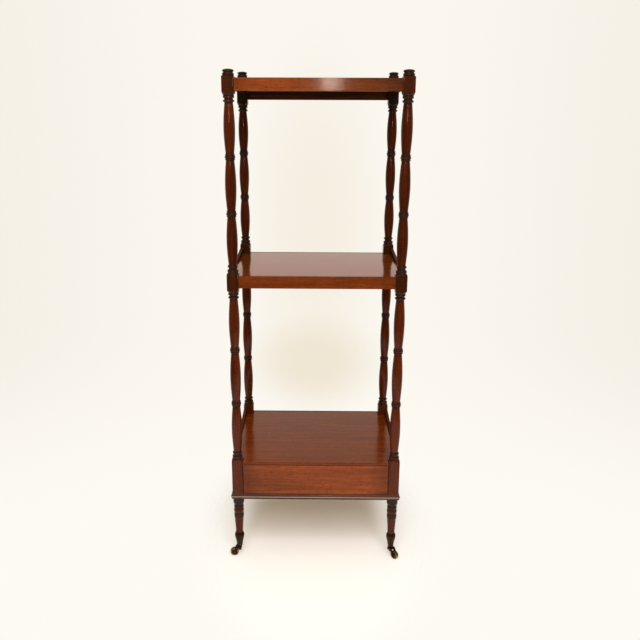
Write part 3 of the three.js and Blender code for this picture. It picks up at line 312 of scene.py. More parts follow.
def brass(name, worn, dark, wear):
    """Cast and turned brass that was lacquered once: a brown patina, rubbed through in soft patches."""
    material, tree, shader = new_material(name, {"Metallic": 1.0})
    add = partial(add_node, tree)
    place = add("ShaderNodeTexCoord")["Object"]
    # Patches of patina 5 mm across, and the grain of the casting at 0.6 mm
    patches = add("ShaderNodeTexNoise", {
        "Vector": place, "Scale": 1 / 0.005, "Detail": 4.0, "Roughness": 0.6})["Fac"]
    casting = add("ShaderNodeTexNoise", {"Vector": place, "Scale": 1 / 0.0006, "Detail": 2.0})["Fac"]
    rubbed = add("ShaderNodeMapRange", {"Value": patches, 1: 0.62 - wear / 2, 2: 0.92 - wear / 2})[0]
    metal = add("ShaderNodeMix", {0: rubbed, 6: opaque(dark), 7: opaque(worn)}, data_type="RGBA")[2]
    gloss = add("ShaderNodeMapRange", {"Value": rubbed, 3: 0.5, 4: 0.28})[0]
    bump = add("ShaderNodeBump", {"Strength": 0.25, "Distance": 0.1 * MM, "Height": casting})[0]
    for key, value in (("Base Color", metal), ("Roughness", gloss), ("Normal", bump)):
        tree.links.new(value, shader.inputs[key])
    return material


# What each finish is called, its grain, its pair of colours, how much darker its ends are, the weight of its
# polish, the gloss of the stained fibres under it and the share of them that is burnished
WOODS = {
    "rail x": ("French polished mahogany rail, grain across", "x", "rail", 0.35, 1.0, 0.0, 0.0),
    "rail y": ("French polished mahogany rail, grain front to back", "y", "rail", 0.0, 1.0, 0.0, 0.0),
    "middle rail": ("darker French polished mahogany rail", "x", "middle", 0.15, 1.0, 0.0, 0.0),
    "board": ("French polished mahogany board", "x", "board", 0.0, 0.2, 1.0, 0.0),
    # A lighter copy of the board: painted light
    "faded board": ("French polished mahogany board, lightened as painted light", "x", "lightened", 0.0, 1.0, 0.0, 0.33),
    "turned": ("French polished turned mahogany", "z", "post", 0.0, 1.0, 0.0, 0.0),
    # The shaded finishes are darker copies of the mahogany, laid as painted shade where little light falls
    "shaded x": ("polished mahogany darkened as painted shade, grain across", "x", "shade", 0.0, 0.15, 0.0, 0.0),
    "shaded y": ("dark polished mahogany, grain front to back", "y", "shade", 0.0, 0.15, 0.0, 0.0),
    "moulding x": ("waxed mahogany moulding, grain across", "x", "shade", 0.0, 1.0, 0.0, 0.0),
    "moulding y": ("waxed mahogany moulding, grain front to back", "y", "shade", 0.0, 1.0, 0.0, 0.0),
    "lining x": ("bare drawer wood, grain across", "x", "lining", 0.0, 0.0, 0.0, 0.0),
    "lining y": ("bare drawer wood, grain front to back", "y", "lining", 0.0, 0.0, 0.0, 0.0),
}
# What each metal is called, and how far its patina is rubbed through
METALS = {
    "brass cast": ("brass with a brown patina", 0.05),
    "brass rubbed": ("brass rubbed bright", 0.5),
}


def finish_of(key):
    """The finish with this name, made from the scene's colours the first time it is asked for."""
    name = (WOODS.get(key) or METALS[key])[0]
    if name in bpy.data.materials:
        return bpy.data.materials[name]
    colours = bpy.context.scene.whatnot_colours
    if key in METALS:
        return brass(name, colours.brass_worn, colours.brass_dark, METALS[key][1])
    _, grain, wood, ends, polish, sheen, burnish = WOODS[key]
    light = getattr(colours, f"{wood}_light")
    dark = getattr(colours, f"{wood}_dark")
    if wood == "lining":
        return bare_wood(name, grain, light, dark)
    # The mouldings lay dust and a painted highlight where the other woods lay old polish and painted shade
    dirt_and_painted_light = colours.dust_and_highlight if key.startswith("moulding") else colours.dirt_and_painted_light
    return mahogany(
        name, grain, light, dark, colours.pore, dirt_and_painted_light, colours.stain, ends, polish, sheen, burnish)


# Meshes

# Faces that meet at more than this have a sharp edge between them
SHARP_DEGREES = 38.0


def new_piece(name, mesh, finish, body, slot, *nodes):
    """Puts a finished mesh in the scene, to ride on a body and stand for the named CAD nodes."""
    obj = bpy.data.objects.new(name, mesh)
    bpy.context.scene.collection.objects.link(obj)
    if not mesh.materials:
        mesh.materials.append(finish_of(finish))
    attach(obj, body)
    if nodes:
        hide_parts(*nodes)
    return obj


def open_tree(name, inputs, output):
    """A Geometry Nodes tree with an output and inputs, each with its kind and perhaps a usual value."""
    tree = bpy.data.node_groups.new(name, "GeometryNodeTree")
    for label, (kind, *usual) in inputs.items():
        socket = tree.interface.new_socket(label, in_out="INPUT", socket_type="NodeSocket" + kind)
        if usual:
            socket.default_value = usual[0]
    tree.interface.new_socket(output, in_out="OUTPUT", socket_type="NodeSocketGeometry")
    return tree, add_node(tree, "NodeGroupInput")


def run_nodes(mesh, tree, values):
    """Runs a Geometry Nodes tree on a mesh and gives the result as a plain mesh."""
    blank = bpy.data.objects.new("blank", mesh)
    bpy.context.scene.collection.objects.link(blank)
    modifier = blank.modifiers.new("nodes", "NODES")
    modifier.node_group = tree
    for item in tree.interface.items_tree:
        if item.in_out == "INPUT" and item.name in values:
            modifier[item.identifier] = values[item.name]
    graph = bpy.context.evaluated_depsgraph_get()
    result = bpy.data.meshes.new_from_object(blank.evaluated_get(graph), depsgraph=graph)
    blank.modifiers.remove(modifier)
    bpy.data.objects.remove(blank)
    return result


def mesh_from(name, work, sharp_degrees=SHARP_DEGREES):
    """Turns a bmesh into a mesh with its normals out, smooth except where two faces meet at a sharp angle."""
    bmesh.ops.recalc_face_normals(work, faces=work.faces)
    limit = math.radians(sharp_degrees)
    for face in work.faces:
        face.smooth = True
    for edge in work.edges:
        edge.smooth = edge.calc_face_angle(0.0) < limit
    mesh = bpy.data.meshes.new(name)
    work.to_mesh(mesh)
    work.free()
    return mesh


def revolve(work, profile, sides, place, closed=False):
    """Turns a profile of (radius, height) in millimetres round Z. An open one starts and ends on the axis."""
    rings = []
    for radius, height in profile:
        turns = [2 * math.pi * side / sides for side in range(sides if radius else 1)]
        points = [Vector((radius * math.cos(turn), radius * math.sin(turn), height)) * MM for turn in turns]
        rings.append([work.verts.new(place @ point) for point in points])
    faces = []
    for low, high in zip(rings, rings[1:] + (rings[:1] if closed else [])):
        for side in range(sides):
            corners = [ring[(side + step) % len(ring)]
                       for ring, step in ((low, 0), (low, 1), (high, 1), (high, 0))]
            # On the axis two of them are one point
            corners = list(dict.fromkeys(corners))
            if len(corners) > 2:
                faces.append(work.faces.new(corners))
    return faces


def bridge(work, low, high):
    """Closes two outlines that have the same number of points and joins them by flat sides."""
    rings = [[work.verts.new(point) for point in ring] for ring in (low, high)]
    for ring in rings:
        work.faces.new(ring)
    for i in range(len(low)):
        after = (i + 1) % len(low)
        work.faces.new((rings[0][i], rings[0][after], rings[1][after], rings[1][i]))


def extrude_outline(work, outline, axis, low, high, place=Matrix.Identity(4)):
    """Carries a closed outline of two coordinates in millimetres along the third axis from low to high."""
    bridge(work, *([place @ Vector([value * MM for value in (*point[:axis], at, *point[axis:])])
                    for point in outline] for at in (low, high)))


def soften(obj, width):
    """Rounds the sharp edges of a piece a little and keeps its flat faces flat."""
    bevel = obj.modifiers.new("arris", "BEVEL")
    bevel.width = width
    bevel.segments = 2
    bevel.limit_method = "ANGLE"
    bevel.angle_limit = math.radians(SHARP_DEGREES)
    bevel.harden_normals = True
    bevel.use_clamp_overlap = True


def dressed(node, finish, width, below=None, fore=None, dirt_and_painted_light=None, body="carcass", slot="mahogany"):
    """A copy of a flat sided CAD node with its triangles joined to whole faces and its edges softened.

    Its faces that look down or to the middle of the piece may take a second finish, most often darker as
    painted shade, and those that look forward a third, and it may be darkened from its left end to its right
    as painted shade.
    """
    work = bmesh.new()
    work.from_mesh(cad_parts[node].data)
    bmesh.ops.remove_doubles(work, verts=work.verts, dist=0.01 * MM)
    bmesh.ops.dissolve_limit(work, angle_limit=math.radians(1), verts=work.verts, edges=work.edges)
    mesh = mesh_from(node + "_dressed", work)
    if "custom_normal" in mesh.attributes:
        mesh.attributes.remove(mesh.attributes["custom_normal"])
    mesh.materials.clear()
    for key in (finish, below or finish, fore or finish):
        mesh.materials.append(finish_of(key))
    low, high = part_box(node)
    middle = (low[0] + high[0]) / 2
    for face in mesh.polygons:
        # Only the pieces of the two sides, 100 mm or more from the middle, have a face towards it
        inwards = abs(middle) > 0.1 and face.normal.x * middle < -0.5 * abs(middle)
        # Faces that look down or inwards take the second finish, most often painted shade
        shaded_side = inwards or face.normal.z < -0.5
        face.material_index = 1 if shaded_side else 2 if face.normal.y < -0.5 else 0
    # Darker from the left end to the right: painted shade
    if dirt_and_painted_light:
        shares = [(v.co.x - low[0]) / (high[0] - low[0]) for v in mesh.vertices]
        values = [dirt_and_painted_light[0] + (dirt_and_painted_light[1] - dirt_and_painted_light[0]) * share for share in shares]
        mesh.attributes.new("dirt_and_painted_light", "FLOAT", "POINT").data.foreach_set("value", values)
    obj = new_piece(node + "_dressed", mesh, finish, body, slot, node)
    soften(obj, width)
    return obj


# Turned work


def bead(low, high, groove, crown, steps=10):
    """A half round bead, or a cove where the crown is smaller than the groove: (height, radius) points."""
    points = []
    for step in range(steps + 1):
        turn = math.pi * step / steps
        height = low + (high - low) * (1 - math.cos(turn)) / 2
        points.append((height, groove + (crown - groove) * math.sin(turn)))
    return points


def swell(low, high, end, crown, steps=24):
    """A long swelling length between two thin ends."""
    return [(low + (high - low) * step / steps, end + (crown - end) * math.sin(math.pi * step / steps))
            for step in range(steps + 1)]


TURNING = "turned from a square"
# A turning of this radius in millimetres covers the square to its corners, and one inside a square of this
# half width in metres stays round
SQUARE_REACH = 19.6
ROUND = 0.06
# Where the two groups of beads are, as shares of the length between two blocks
CLUSTER_SHARES = (0.329, 0.6735)
# The hollow at each end of a block, in millimetres
SHOULDER_RADIUS = 12.2
UPPER_SHOULDER = 5.0
LOWER_SHOULDER = 8.0


def shoulder(block_end, square_end, steps=8):
    """The hollow cut at the end of a square block, from the whole square to the turned shoulder."""
    points = []
    for step in range(steps + 1):
        share = step / steps
        height = square_end + (block_end - square_end) * share
        points.append((height, SHOULDER_RADIUS + (SQUARE_REACH - SHOULDER_RADIUS) * (1 - share) ** 2))
    return points if block_end > square_end else points[::-1]


def stage(low, high, sizes):
    """Everything turned between the top of one block and the bottom of the next, from the bottom up."""
    neck = sizes.neck_radius / MM
    ring = sizes.ring_radius / MM
    widest = sizes.baluster_radius / MM
    large = sizes.bead_radius / MM
    small = sizes.side_bead_radius / MM
    # The groups of beads stand at their shares of the length between these two heights
    start = low + 14.7
    span = high - 10.9 - start
    # Half the height of a group of beads, and of the large bead in it
    group_half = 7.2
    large_half = 3.0
    # A bead on the block, a cove and a ring, and from there the first swelling length
    points = bead(low, low + 7.0, 12.0, 13.2)
    points += bead(low + 7.0, low + 12.0, 10.6, 10.0, 6)
    points += bead(low + 12.0, low + 17.4, 10.4, ring - 0.5)
    at = low + 19.0
    points.append((at, neck))
    for share in CLUSTER_SHARES:
        middle = start + span * share
        points += swell(at, middle - group_half, neck - 0.1, widest)
        points += bead(middle - group_half, middle - large_half, 10.0, small, 8)
        points += bead(middle - large_half, middle + large_half, 10.4, large)
        points += bead(middle + large_half, middle + group_half, 10.0, small, 8)
        at = middle + group_half
    points += swell(at, high - 15.2, neck - 0.1, widest)
    # The ring, a cove and a bead under the next block
    points.append((high - 14.2, neck))
    points += bead(high - 13.6, high - 8.2, 10.2, ring)
    points += bead(high - 8.2, high - 4.8, 10.2, neck, 6)
    points += bead(high - 4.8, high, 11.8, 12.8)
    return points


def post_profile(row, sizes):
    blocks = BLOCKS[row]
    points = [(blocks["base"][0], SQUARE_REACH)]
    for lower, upper in (("base", "mid"), ("mid", "top")):
        top = blocks[lower][1]
        bottom = blocks[upper][0]
        points += shoulder(top, top - UPPER_SHOULDER)
        points += stage(top, bottom, sizes)
        points += shoulder(bottom, bottom + LOWER_SHOULDER)
    top = blocks["top"][1]
    points += [(top - 1.2, SQUARE_REACH), (top, 18.2)]
    return points


def spine(name, points, zones, lightened):
    """A line up the Z axis that holds the turning's radius, its share of old polish and painted shade, and
    how much it is lightened as painted light.

    Two points at one height are set a twentieth of a millimetre apart. Painted shade fills the grooves and
    darkens what is finely turned, and old polish and painted shade lie on the zones, each given by its lowest
    and highest point and its share.
    """
    heights = []
    radii = []
    for height, radius in points:
        if heights and abs(radius - radii[-1]) < 0.01 and height - heights[-1] < 0.05:
            continue
        heights.append(max(height, heights[-1] + 0.05) if heights else height)
        radii.append(radius)
    mesh = bpy.data.meshes.new(name)
    count = len(heights)
    mesh.from_pydata([(0.0, 0.0, h * MM) for h in heights], [(i, i + 1) for i in range(count - 1)], [])
    dirt_and_painted_light_shares = []
    for height, radius in zip(heights, radii):
        # Painted shade fills a groove from 0.5 mm below the wood within 5 mm of it, and is full at 2.3 mm
        near = [min(r, HALF_SQUARE) for h, r in zip(heights, radii) if abs(h - height) < 5.0]
        depth = (max(near) - radius - 0.5) / 1.8
        # What is finely turned, such as a group of beads, is darkened too: painted shade
        relief = (max(near) - min(near) - 0.8) / 1.2
        dirt_and_painted_light = 0.85 * max(0.0, min(1.0, depth)) + 0.4 * max(0.0, min(1.0, relief))
        laid = [share for low, high, share in zones if low <= height <= high]
        dirt_and_painted_light_shares.append(min(0.95, max([dirt_and_painted_light] + laid)))
    lightened_shares = [next((share for low, high, share in lightened if low <= height <= high), 0.0) for height in heights]
    for kept, values in (("turning_radius", [r * MM for r in radii]), ("dirt_and_painted_light", dirt_and_painted_light_shares), ("lightened", lightened_shares)):
        mesh.attributes.new(kept, "FLOAT", "POINT").data.foreach_set("value", values)
    return mesh


def turning_tree():
    """Sweeps a ring up a spine with the radius kept on it, and cuts the result back to a square column.

    Where the turning is wider than the square, the square block is left.
    """
    tree, given = open_tree(TURNING, {
        "Spine": ("Geometry",),
        "Sides": ("Int", 64),
        "Half Square": ("Float", HALF_SQUARE * MM),
        "Corner Power": ("Float", 36.0),
        "Crowding": ("Float", 0.8),
        "Place": ("Vector",),
        "Finish": ("Material",),
    }, "Turning")
    add = partial(add_node, tree)
    # A ring whose points crowd towards the corners of the square
    ring = add("GeometryNodeCurvePrimitiveCircle", {"Resolution": given["Sides"], "Radius": 1.0})["Curve"]
    place = add("GeometryNodeInputPosition")[0]
    spot = add("ShaderNodeSeparateXYZ", {0: place})
    angle = add("ShaderNodeMath", {0: spot["Y"], 1: spot["X"]}, operation="ARCTAN2")[0]
    four = add("ShaderNodeMath", {0: angle, 1: 4.0}, operation="MULTIPLY")[0]
    wave = add("ShaderNodeMath", {0: four}, operation="SINE")[0]
    quarter = add("ShaderNodeMath", {0: given["Crowding"], 1: 4.0}, operation="DIVIDE")[0]
    moved = add("ShaderNodeMath", {0: wave, 1: quarter, 2: angle}, operation="MULTIPLY_ADD")[0]
    crowded = add("ShaderNodeCombineXYZ", {
        axis: add("ShaderNodeMath", {0: moved}, operation=operation)[0]
        for axis, operation in (("X", "COSINE"), ("Y", "SINE"))})[0]
    ring = add("GeometryNodeSetPosition", {"Geometry": ring, "Position": crowded})[0]
    line = add("GeometryNodeMeshToCurve", {"Mesh": given["Spine"]})[0]
    radius = add("GeometryNodeInputNamedAttribute", {
        "Name": "turning_radius"}, data_type="FLOAT")["Attribute"]
    turning = add("GeometryNodeCurveToMesh", {
        "Curve": line, "Profile Curve": ring, "Scale": radius, "Fill Caps": True})[0]
    # How far out of the square a point is, with the square's corners rounded
    raised = []
    for axis in ("X", "Y"):
        size = add("ShaderNodeMath", {0: spot[axis]}, operation="ABSOLUTE")[0]
        share = add("ShaderNodeMath", {0: size, 1: given["Half Square"]}, operation="DIVIDE")[0]
        raised.append(add("ShaderNodeMath", {0: share, 1: given["Corner Power"]}, operation="POWER")[0])
    total = add("ShaderNodeMath", {0: raised[0], 1: raised[1]}, operation="ADD")[0]
    root = add("ShaderNodeMath", {0: 1.0, 1: given["Corner Power"]}, operation="DIVIDE")[0]
    reach = add("ShaderNodeMath", {0: total, 1: root}, operation="POWER")[0]
    over = add("ShaderNodeMath", {0: reach, 1: 1.0}, operation="MAXIMUM")[0]
    cut = {axis: add("ShaderNodeMath", {0: spot[axis], 1: over}, operation="DIVIDE")[0]
           for axis in ("X", "Y")}
    flat = add("ShaderNodeCombineXYZ", {**cut, "Z": spot["Z"]})[0]
    bend = add("GeometryNodeInputMeshEdgeAngle")["Unsigned Angle"]
    crisp = add("FunctionNodeCompare", {"A": bend, "B": math.radians(40)}, operation="GREATER_THAN")[0]
    for kind, inputs, settings in (
            ("SetPosition", {"Position": flat}, {}),
            ("SetShadeSmooth", {"Shade Smooth": True}, {"domain": "FACE"}),
            ("SetShadeSmooth", {"Selection": crisp, "Shade Smooth": False}, {"domain": "EDGE"}),
            ("Transform", {"Translation": given["Place"]}, {}),
            ("RealizeInstances", {}, {}),
            ("SetMaterial", {"Material": given["Finish"]}, {})):
        turning = add("GeometryNode" + kind, {"Geometry": turning, **inputs}, **settings)[0]
    add("NodeGroupOutput", {"Turning": turning})
    return tree


def turned_piece(corner, part, points, zones, lightened=(), half_square=ROUND, arris=1 * MM):
    """One turned piece on a corner's centre line."""
    name = f"{corner}_{part}"
    tree = bpy.data.node_groups.get(TURNING) or turning_tree()
    # The rounded square passes inside the sharp corner by the arris: that sets its power
    diagonal = half_square * math.sqrt(2)
    power = math.log(2) / math.log(diagonal / (diagonal - arris))
    x, y, _ = CORNERS[corner]
    mesh = run_nodes(spine(name, points, zones, lightened), tree, {
        "Half Square": half_square,
        "Corner Power": max(8.0, power),
        "Place": (x * MM, y * MM, 0.0),
        "Finish": finish_of("turned"),
    })
    mesh.name = name + "_turned"
    return new_piece(name + "_turned", mesh, "turned", "carcass", "mahogany_turned", name)


class WHATNOT_OT_posts(bpy.types.Operator):
    """Turn the four posts, with their square blocks, balusters, beads and rings"""

    bl_idname = "whatnot.posts"
    bl_label = "Turned posts"

    def execute(self, context):
        sizes = context.scene.whatnot_sizes
        for corner in CORNERS:
            row, side = corner.split("_")
            # Old polish and painted shade on the blocks: the rear ones, in the shade of the shelves above,
            # are darkest, and the left base block is darker than the right
            shares = {"base": 0.2 if side == "left" else 0.0, "mid": 0.3, "top": 0.4}
            if row == "rear":
                shares = {"base": 0.3, "mid": 0.5, "top": 0.8}
            zones = [(*BLOCKS[row][tier], share) for tier, share in shares.items()]
            # Painted light: the base blocks, the right one most, and the posts up to 700 mm are lighter
            base_top = BLOCKS[row]["base"][1]
            lightened = [(UNDERSIDE, base_top, 1.0 if side == "right" else 0.8), (base_top, 700.0, 0.45)]
            turned_piece(
                corner, "post", post_profile(row, sizes), zones, lightened, HALF_SQUARE * MM, sizes.block_arris)
        return {"FINISHED"}


class WHATNOT_OT_finials(bpy.types.Operator):
    """Turn the four button finials with their dowels"""

    bl_idname = "whatnot.finials"
    bl_label = "Button finials"

    def execute(self, context):
        for corner in CORNERS:
            # The dowel in the post, a bead, a cove, the rim of the button and its dome
            low = BLOCKS[corner.split("_")[0]]["top"][1]
            points = [(low - 14.0, 4.6), (low - 13.4, 5.0), (low, 5.0)]
            points += bead(low + 0.05, low + 6.5, 12.0, 13.3)
            points += bead(low + 6.5, low + 8.8, 11.7, 11.0, 6)
            points += [(low + 9.6, 12.2), (low + 10.6, 12.9), (low + 11.2, 13.1), (low + 11.8, 12.9)]
            points += [(low + 11.8 + 3.5 * math.sin(turn), 12.7 * math.cos(turn))
                       for turn in (math.pi / 2 * i / 10 for i in range(1, 10))]
            points.append((low + 15.39, 0.3))
            # The whole finial is darkened with old polish and painted shade
            turned_piece(corner, "finial", points, [(low, low + 20.0, 0.85)])
        return {"FINISHED"}


class WHATNOT_OT_legs(bpy.types.Operator):
    """Turn the four legs below the base"""

    bl_idname = "whatnot.legs"
    bl_label = "Turned legs"

    def execute(self, context):
        # From the end in the caster cup up the taper, then the group of beads, and the dowel in the post
        points = [(43.0, 6.0), (43.5, 6.35), (70.0, 8.95), (70.3, 9.2)]
        points += [(72.0 + 43.0 * i / 12, 9.3 + 2.7 * (i / 12) ** 1.3) for i in range(13)]
        for low, high, crown, steps in (
                (115.0, 127.5, 12.8, 12), (127.5, 131.5, 11.6, 6), (131.5, 140.5, 13.1, 12),
                (140.5, 144.0, 11.6, 6), (144.0, 150.5, 12.8, 10), (150.5, 156.0, 11.5, 8)):
            points += bead(low, high, 12.0, crown, steps)
        points += [(156.3, 12.6), (157.0, 13.6), (158.5, 14.2), (161.0, 14.4), (174.8, 14.0), (175.0, 13.8)]
        points += [(175.05, 7.0), (198.4, 7.0), (199.0, 6.5)]
        # Old polish and painted shade: darkest at the top of the leg under the base and in its beads, lighter
        # down the taper, darker again at the cup
        zones = [(141.0, 175.0, 0.85), (115.5, 131.0, 0.75), (80.0, 115.5, 0.2), (60.0, 80.0, 0.4)]
        for corner in CORNERS:
            # Painted light lightens the middle of each leg
            turned_piece(corner, "leg", points, zones, lightened=[(60.0, 141.0, 0.25)])
        return {"FINISHED"}


# Joinery

# In millimetres: how thick a gallery is, how high the moulding is, and half the open joint of its mitres
GALLERY = 8.0
MOULDING_HEIGHT = 14.0
MITRE_GAP = 0.15


class WHATNOT_OT_shelves(bpy.types.Operator):
    """Make the rails and boards of the top and middle shelves"""

    bl_idname = "whatnot.shelves"
    bl_label = "Shelves and rails"

    def execute(self, context):
        width = context.scene.whatnot_sizes.arris
        # The top rail darkens towards its right end: painted shade
        for tier, front, dirt_and_painted_light in (("top", "rail x", (0.0, 0.62)), ("mid", "middle rail", (0.0, 0.0))):
            dressed(f"{tier}_board", "faded board", width, below="shaded x")
            dressed(f"{tier}_front_rail", front, width, below="shaded x", dirt_and_painted_light=dirt_and_painted_light)
            dressed(f"{tier}_back_rail", "shaded x", width)
            for side in ("left", "right"):
                dressed(f"{tier}_{side}_rail", "rail y", width, below="shaded y")
        return {"FINISHED"}


class WHATNOT_OT_base(bpy.types.Operator):
    """Make the board, panels, front rail and drawer runners of the base"""

    bl_idname = "whatnot.base"
    bl_label = "Base"

    def execute(self, context):
        sizes = context.scene.whatnot_sizes
        dressed("base_board", "board", sizes.board_arris, below="lining x", fore="middle rail")
        for part, finish in (
                ("left_panel", "rail y"), ("right_panel", "rail y"), ("back_panel", "shaded x"),
                ("front_rail", "shaded x")):
            dressed(f"base_{part}", finish, sizes.arris)
        for side in ("left", "right"):
            dressed(f"drawer_runner_{side}", "lining y", sizes.arris, slot="drawer_lining")
        return {"FINISHED"}


class WHATNOT_OT_galleries(bpy.types.Operator):
    """Saw the six low side galleries, swept up towards the rear posts"""

    bl_idname = "whatnot.galleries"
    bl_label = "Side galleries"

    def execute(self, context):
        sizes = context.scene.whatnot_sizes
        front = sizes.gallery_front / MM
        rise = sizes.gallery_rear / MM - front
        for tier, shelf in (("top", TOP_SHELF), ("mid", MID_SHELF), ("base", BASE_SHELF)):
            # The upper edge is a curve with its bending point at three fifths of the length
            outline = [(INNER_Y, shelf), (-INNER_Y, shelf)]
            for share in (step / 40 for step in range(41)):
                along = 2 * share * (1 - share) * 0.6 + share * share
                outline.append((-INNER_Y + 2 * INNER_Y * along, shelf + front + rise * share * share))
            for side, low in (("left", -OUTER_X), ("right", OUTER_X - GALLERY)):
                work = bmesh.new()
                extrude_outline(work, outline, 0, low, low + GALLERY)
                name = f"{tier}_{side}_gallery"
                mesh = mesh_from(name, work)
                # The galleries are darkened all over: painted shade
                obj = new_piece(name + "_sawn", mesh, "shaded y", "carcass", "mahogany", name)
                soften(obj, 2 * sizes.arris)
        return {"FINISHED"}


class WHATNOT_OT_mouldings(bpy.types.Operator):
    """Run the small moulding round the underside of the base, mitred at the front corners"""

    bl_idname = "whatnot.mouldings"
    bl_label = "Base mouldings"

    def execute(self, context):
        out = context.scene.whatnot_sizes.moulding_out / MM
        # A square fillet below, a little cove, and a half round bead that dies into the face above
        section = [(0.0, 0.0), (0.58, 0.0), (0.62, 0.012), (0.62, 0.19), (0.6, 0.2)]
        section += [(0.6 - 0.26 * math.sin(math.pi / 2 * i / 5), 0.2 + 0.07 * i / 5) for i in range(1, 6)]
        section += [(0.34 + 0.66 * math.sin(turn), 0.27 + 0.6 * (1 - math.cos(turn)) / 2)
                    for turn in (math.pi * i / 14 for i in range(1, 13))]
        section += [(0.2, 0.93), (0.0, 1.0)]
        points = [(out * o, UNDERSIDE + MOULDING_HEIGHT * u) for o, u in section]
        crest = (UNDERSIDE + MOULDING_HEIGHT * 0.45) * MM
        for side, sign in (("front", 0), ("left", -1), ("right", 1)):
            ends = []
            for end in (-1, 1):
                if side == "front":
                    spots = [(end * (OUTER_X + off - MITRE_GAP), -OUTER_Y - off, up) for off, up in points]
                else:
                    spots = [(sign * (OUTER_X + off), OUTER_Y if end > 0 else -OUTER_Y - off + MITRE_GAP, up)
                             for off, up in points]
                ends.append([Vector(spot) * MM for spot in spots])
            work = bmesh.new()
            bridge(work, *ends)
            node = f"base_moulding_{side}"
            mesh = mesh_from(node, work, sharp_degrees=50.0)
            # Dust and a painted highlight are thickest along the crest and gone 1.6 mm from it
            dust_and_highlight_shares = [max(0.04, 0.9 - 0.9 * abs(v.co.z - crest) / (1.6 * MM)) for v in mesh.vertices]
            mesh.attributes.new("dirt_and_painted_light", "FLOAT", "POINT").data.foreach_set("value", dust_and_highlight_shares)
            # The moulding takes the darker colours that stand for painted shade, with dust and a painted
            # highlight along its crest
            finish = "moulding x" if side == "front" else "moulding y"
            new_piece(node + "_run", mesh, finish, "carcass", "mahogany", node)
        return {"FINISHED"}


class WHATNOT_OT_drawer(bpy.types.Operator):
    """Make the drawer: a mahogany front dovetailed to sides of bare wood, with a back and a bottom"""

    bl_idname = "whatnot.drawer"
    bl_label = "Drawer"

    def execute(self, context):
        width = context.scene.whatnot_sizes.arris
        dressed("drawer_front", "rail x", width, body="drawer")
        for part, finish, softened in (
                ("left_side", "lining y", width / 2), ("right_side", "lining y", width / 2),
                ("back", "lining x", width), ("bottom", "lining x", width / 2)):
            dressed(f"drawer_{part}", finish, softened, body="drawer", slot="drawer_lining")
        return {"FINISHED"}


# Casters

# In millimetres: how far the axle is behind the swivel pin and over the floor, half the width of a fork, the
# thickness of its arms, half the width of a wheel, and how far its rim is rounded
TRAIL = 14.5
AXLE_HEIGHT = 11.0
FORK_HALF = 7.25
ARM = 2.0
WHEEL_HALF = 4.75
ROUND_OVER = 2.45


def under_leg(corner):
    """The place on the floor below a corner's post."""
    x, y, _ = CORNERS[corner]
    return Matrix.Translation((x * MM, y * MM, 0.0))


def caster_place(corner):
    """From a caster's own space, where it trails along X, to its place under a leg."""
    return under_leg(corner) @ Matrix.Rotation(math.pi * CORNERS[corner][2], 4, "Z")


def axle_place(corner):
    """A revolved piece's own Z axis laid along the axle."""
    lay = Matrix.Rotation(-math.pi / 2, 4, "X")
    return caster_place(corner) @ Matrix.Translation((TRAIL * MM, 0.0, AXLE_HEIGHT * MM)) @ lay


def brass_piece(corner, part, work, body, *finishes):
    """A part of a caster, in cast brass unless its faces have finishes of their own."""
    name = f"{corner}_caster_{part}"
    mesh = mesh_from(name, work)
    for finish in finishes:
        mesh.materials.append(finish_of(finish))
    return new_piece(name + "_brass", mesh, "brass cast", body, "brass", name)


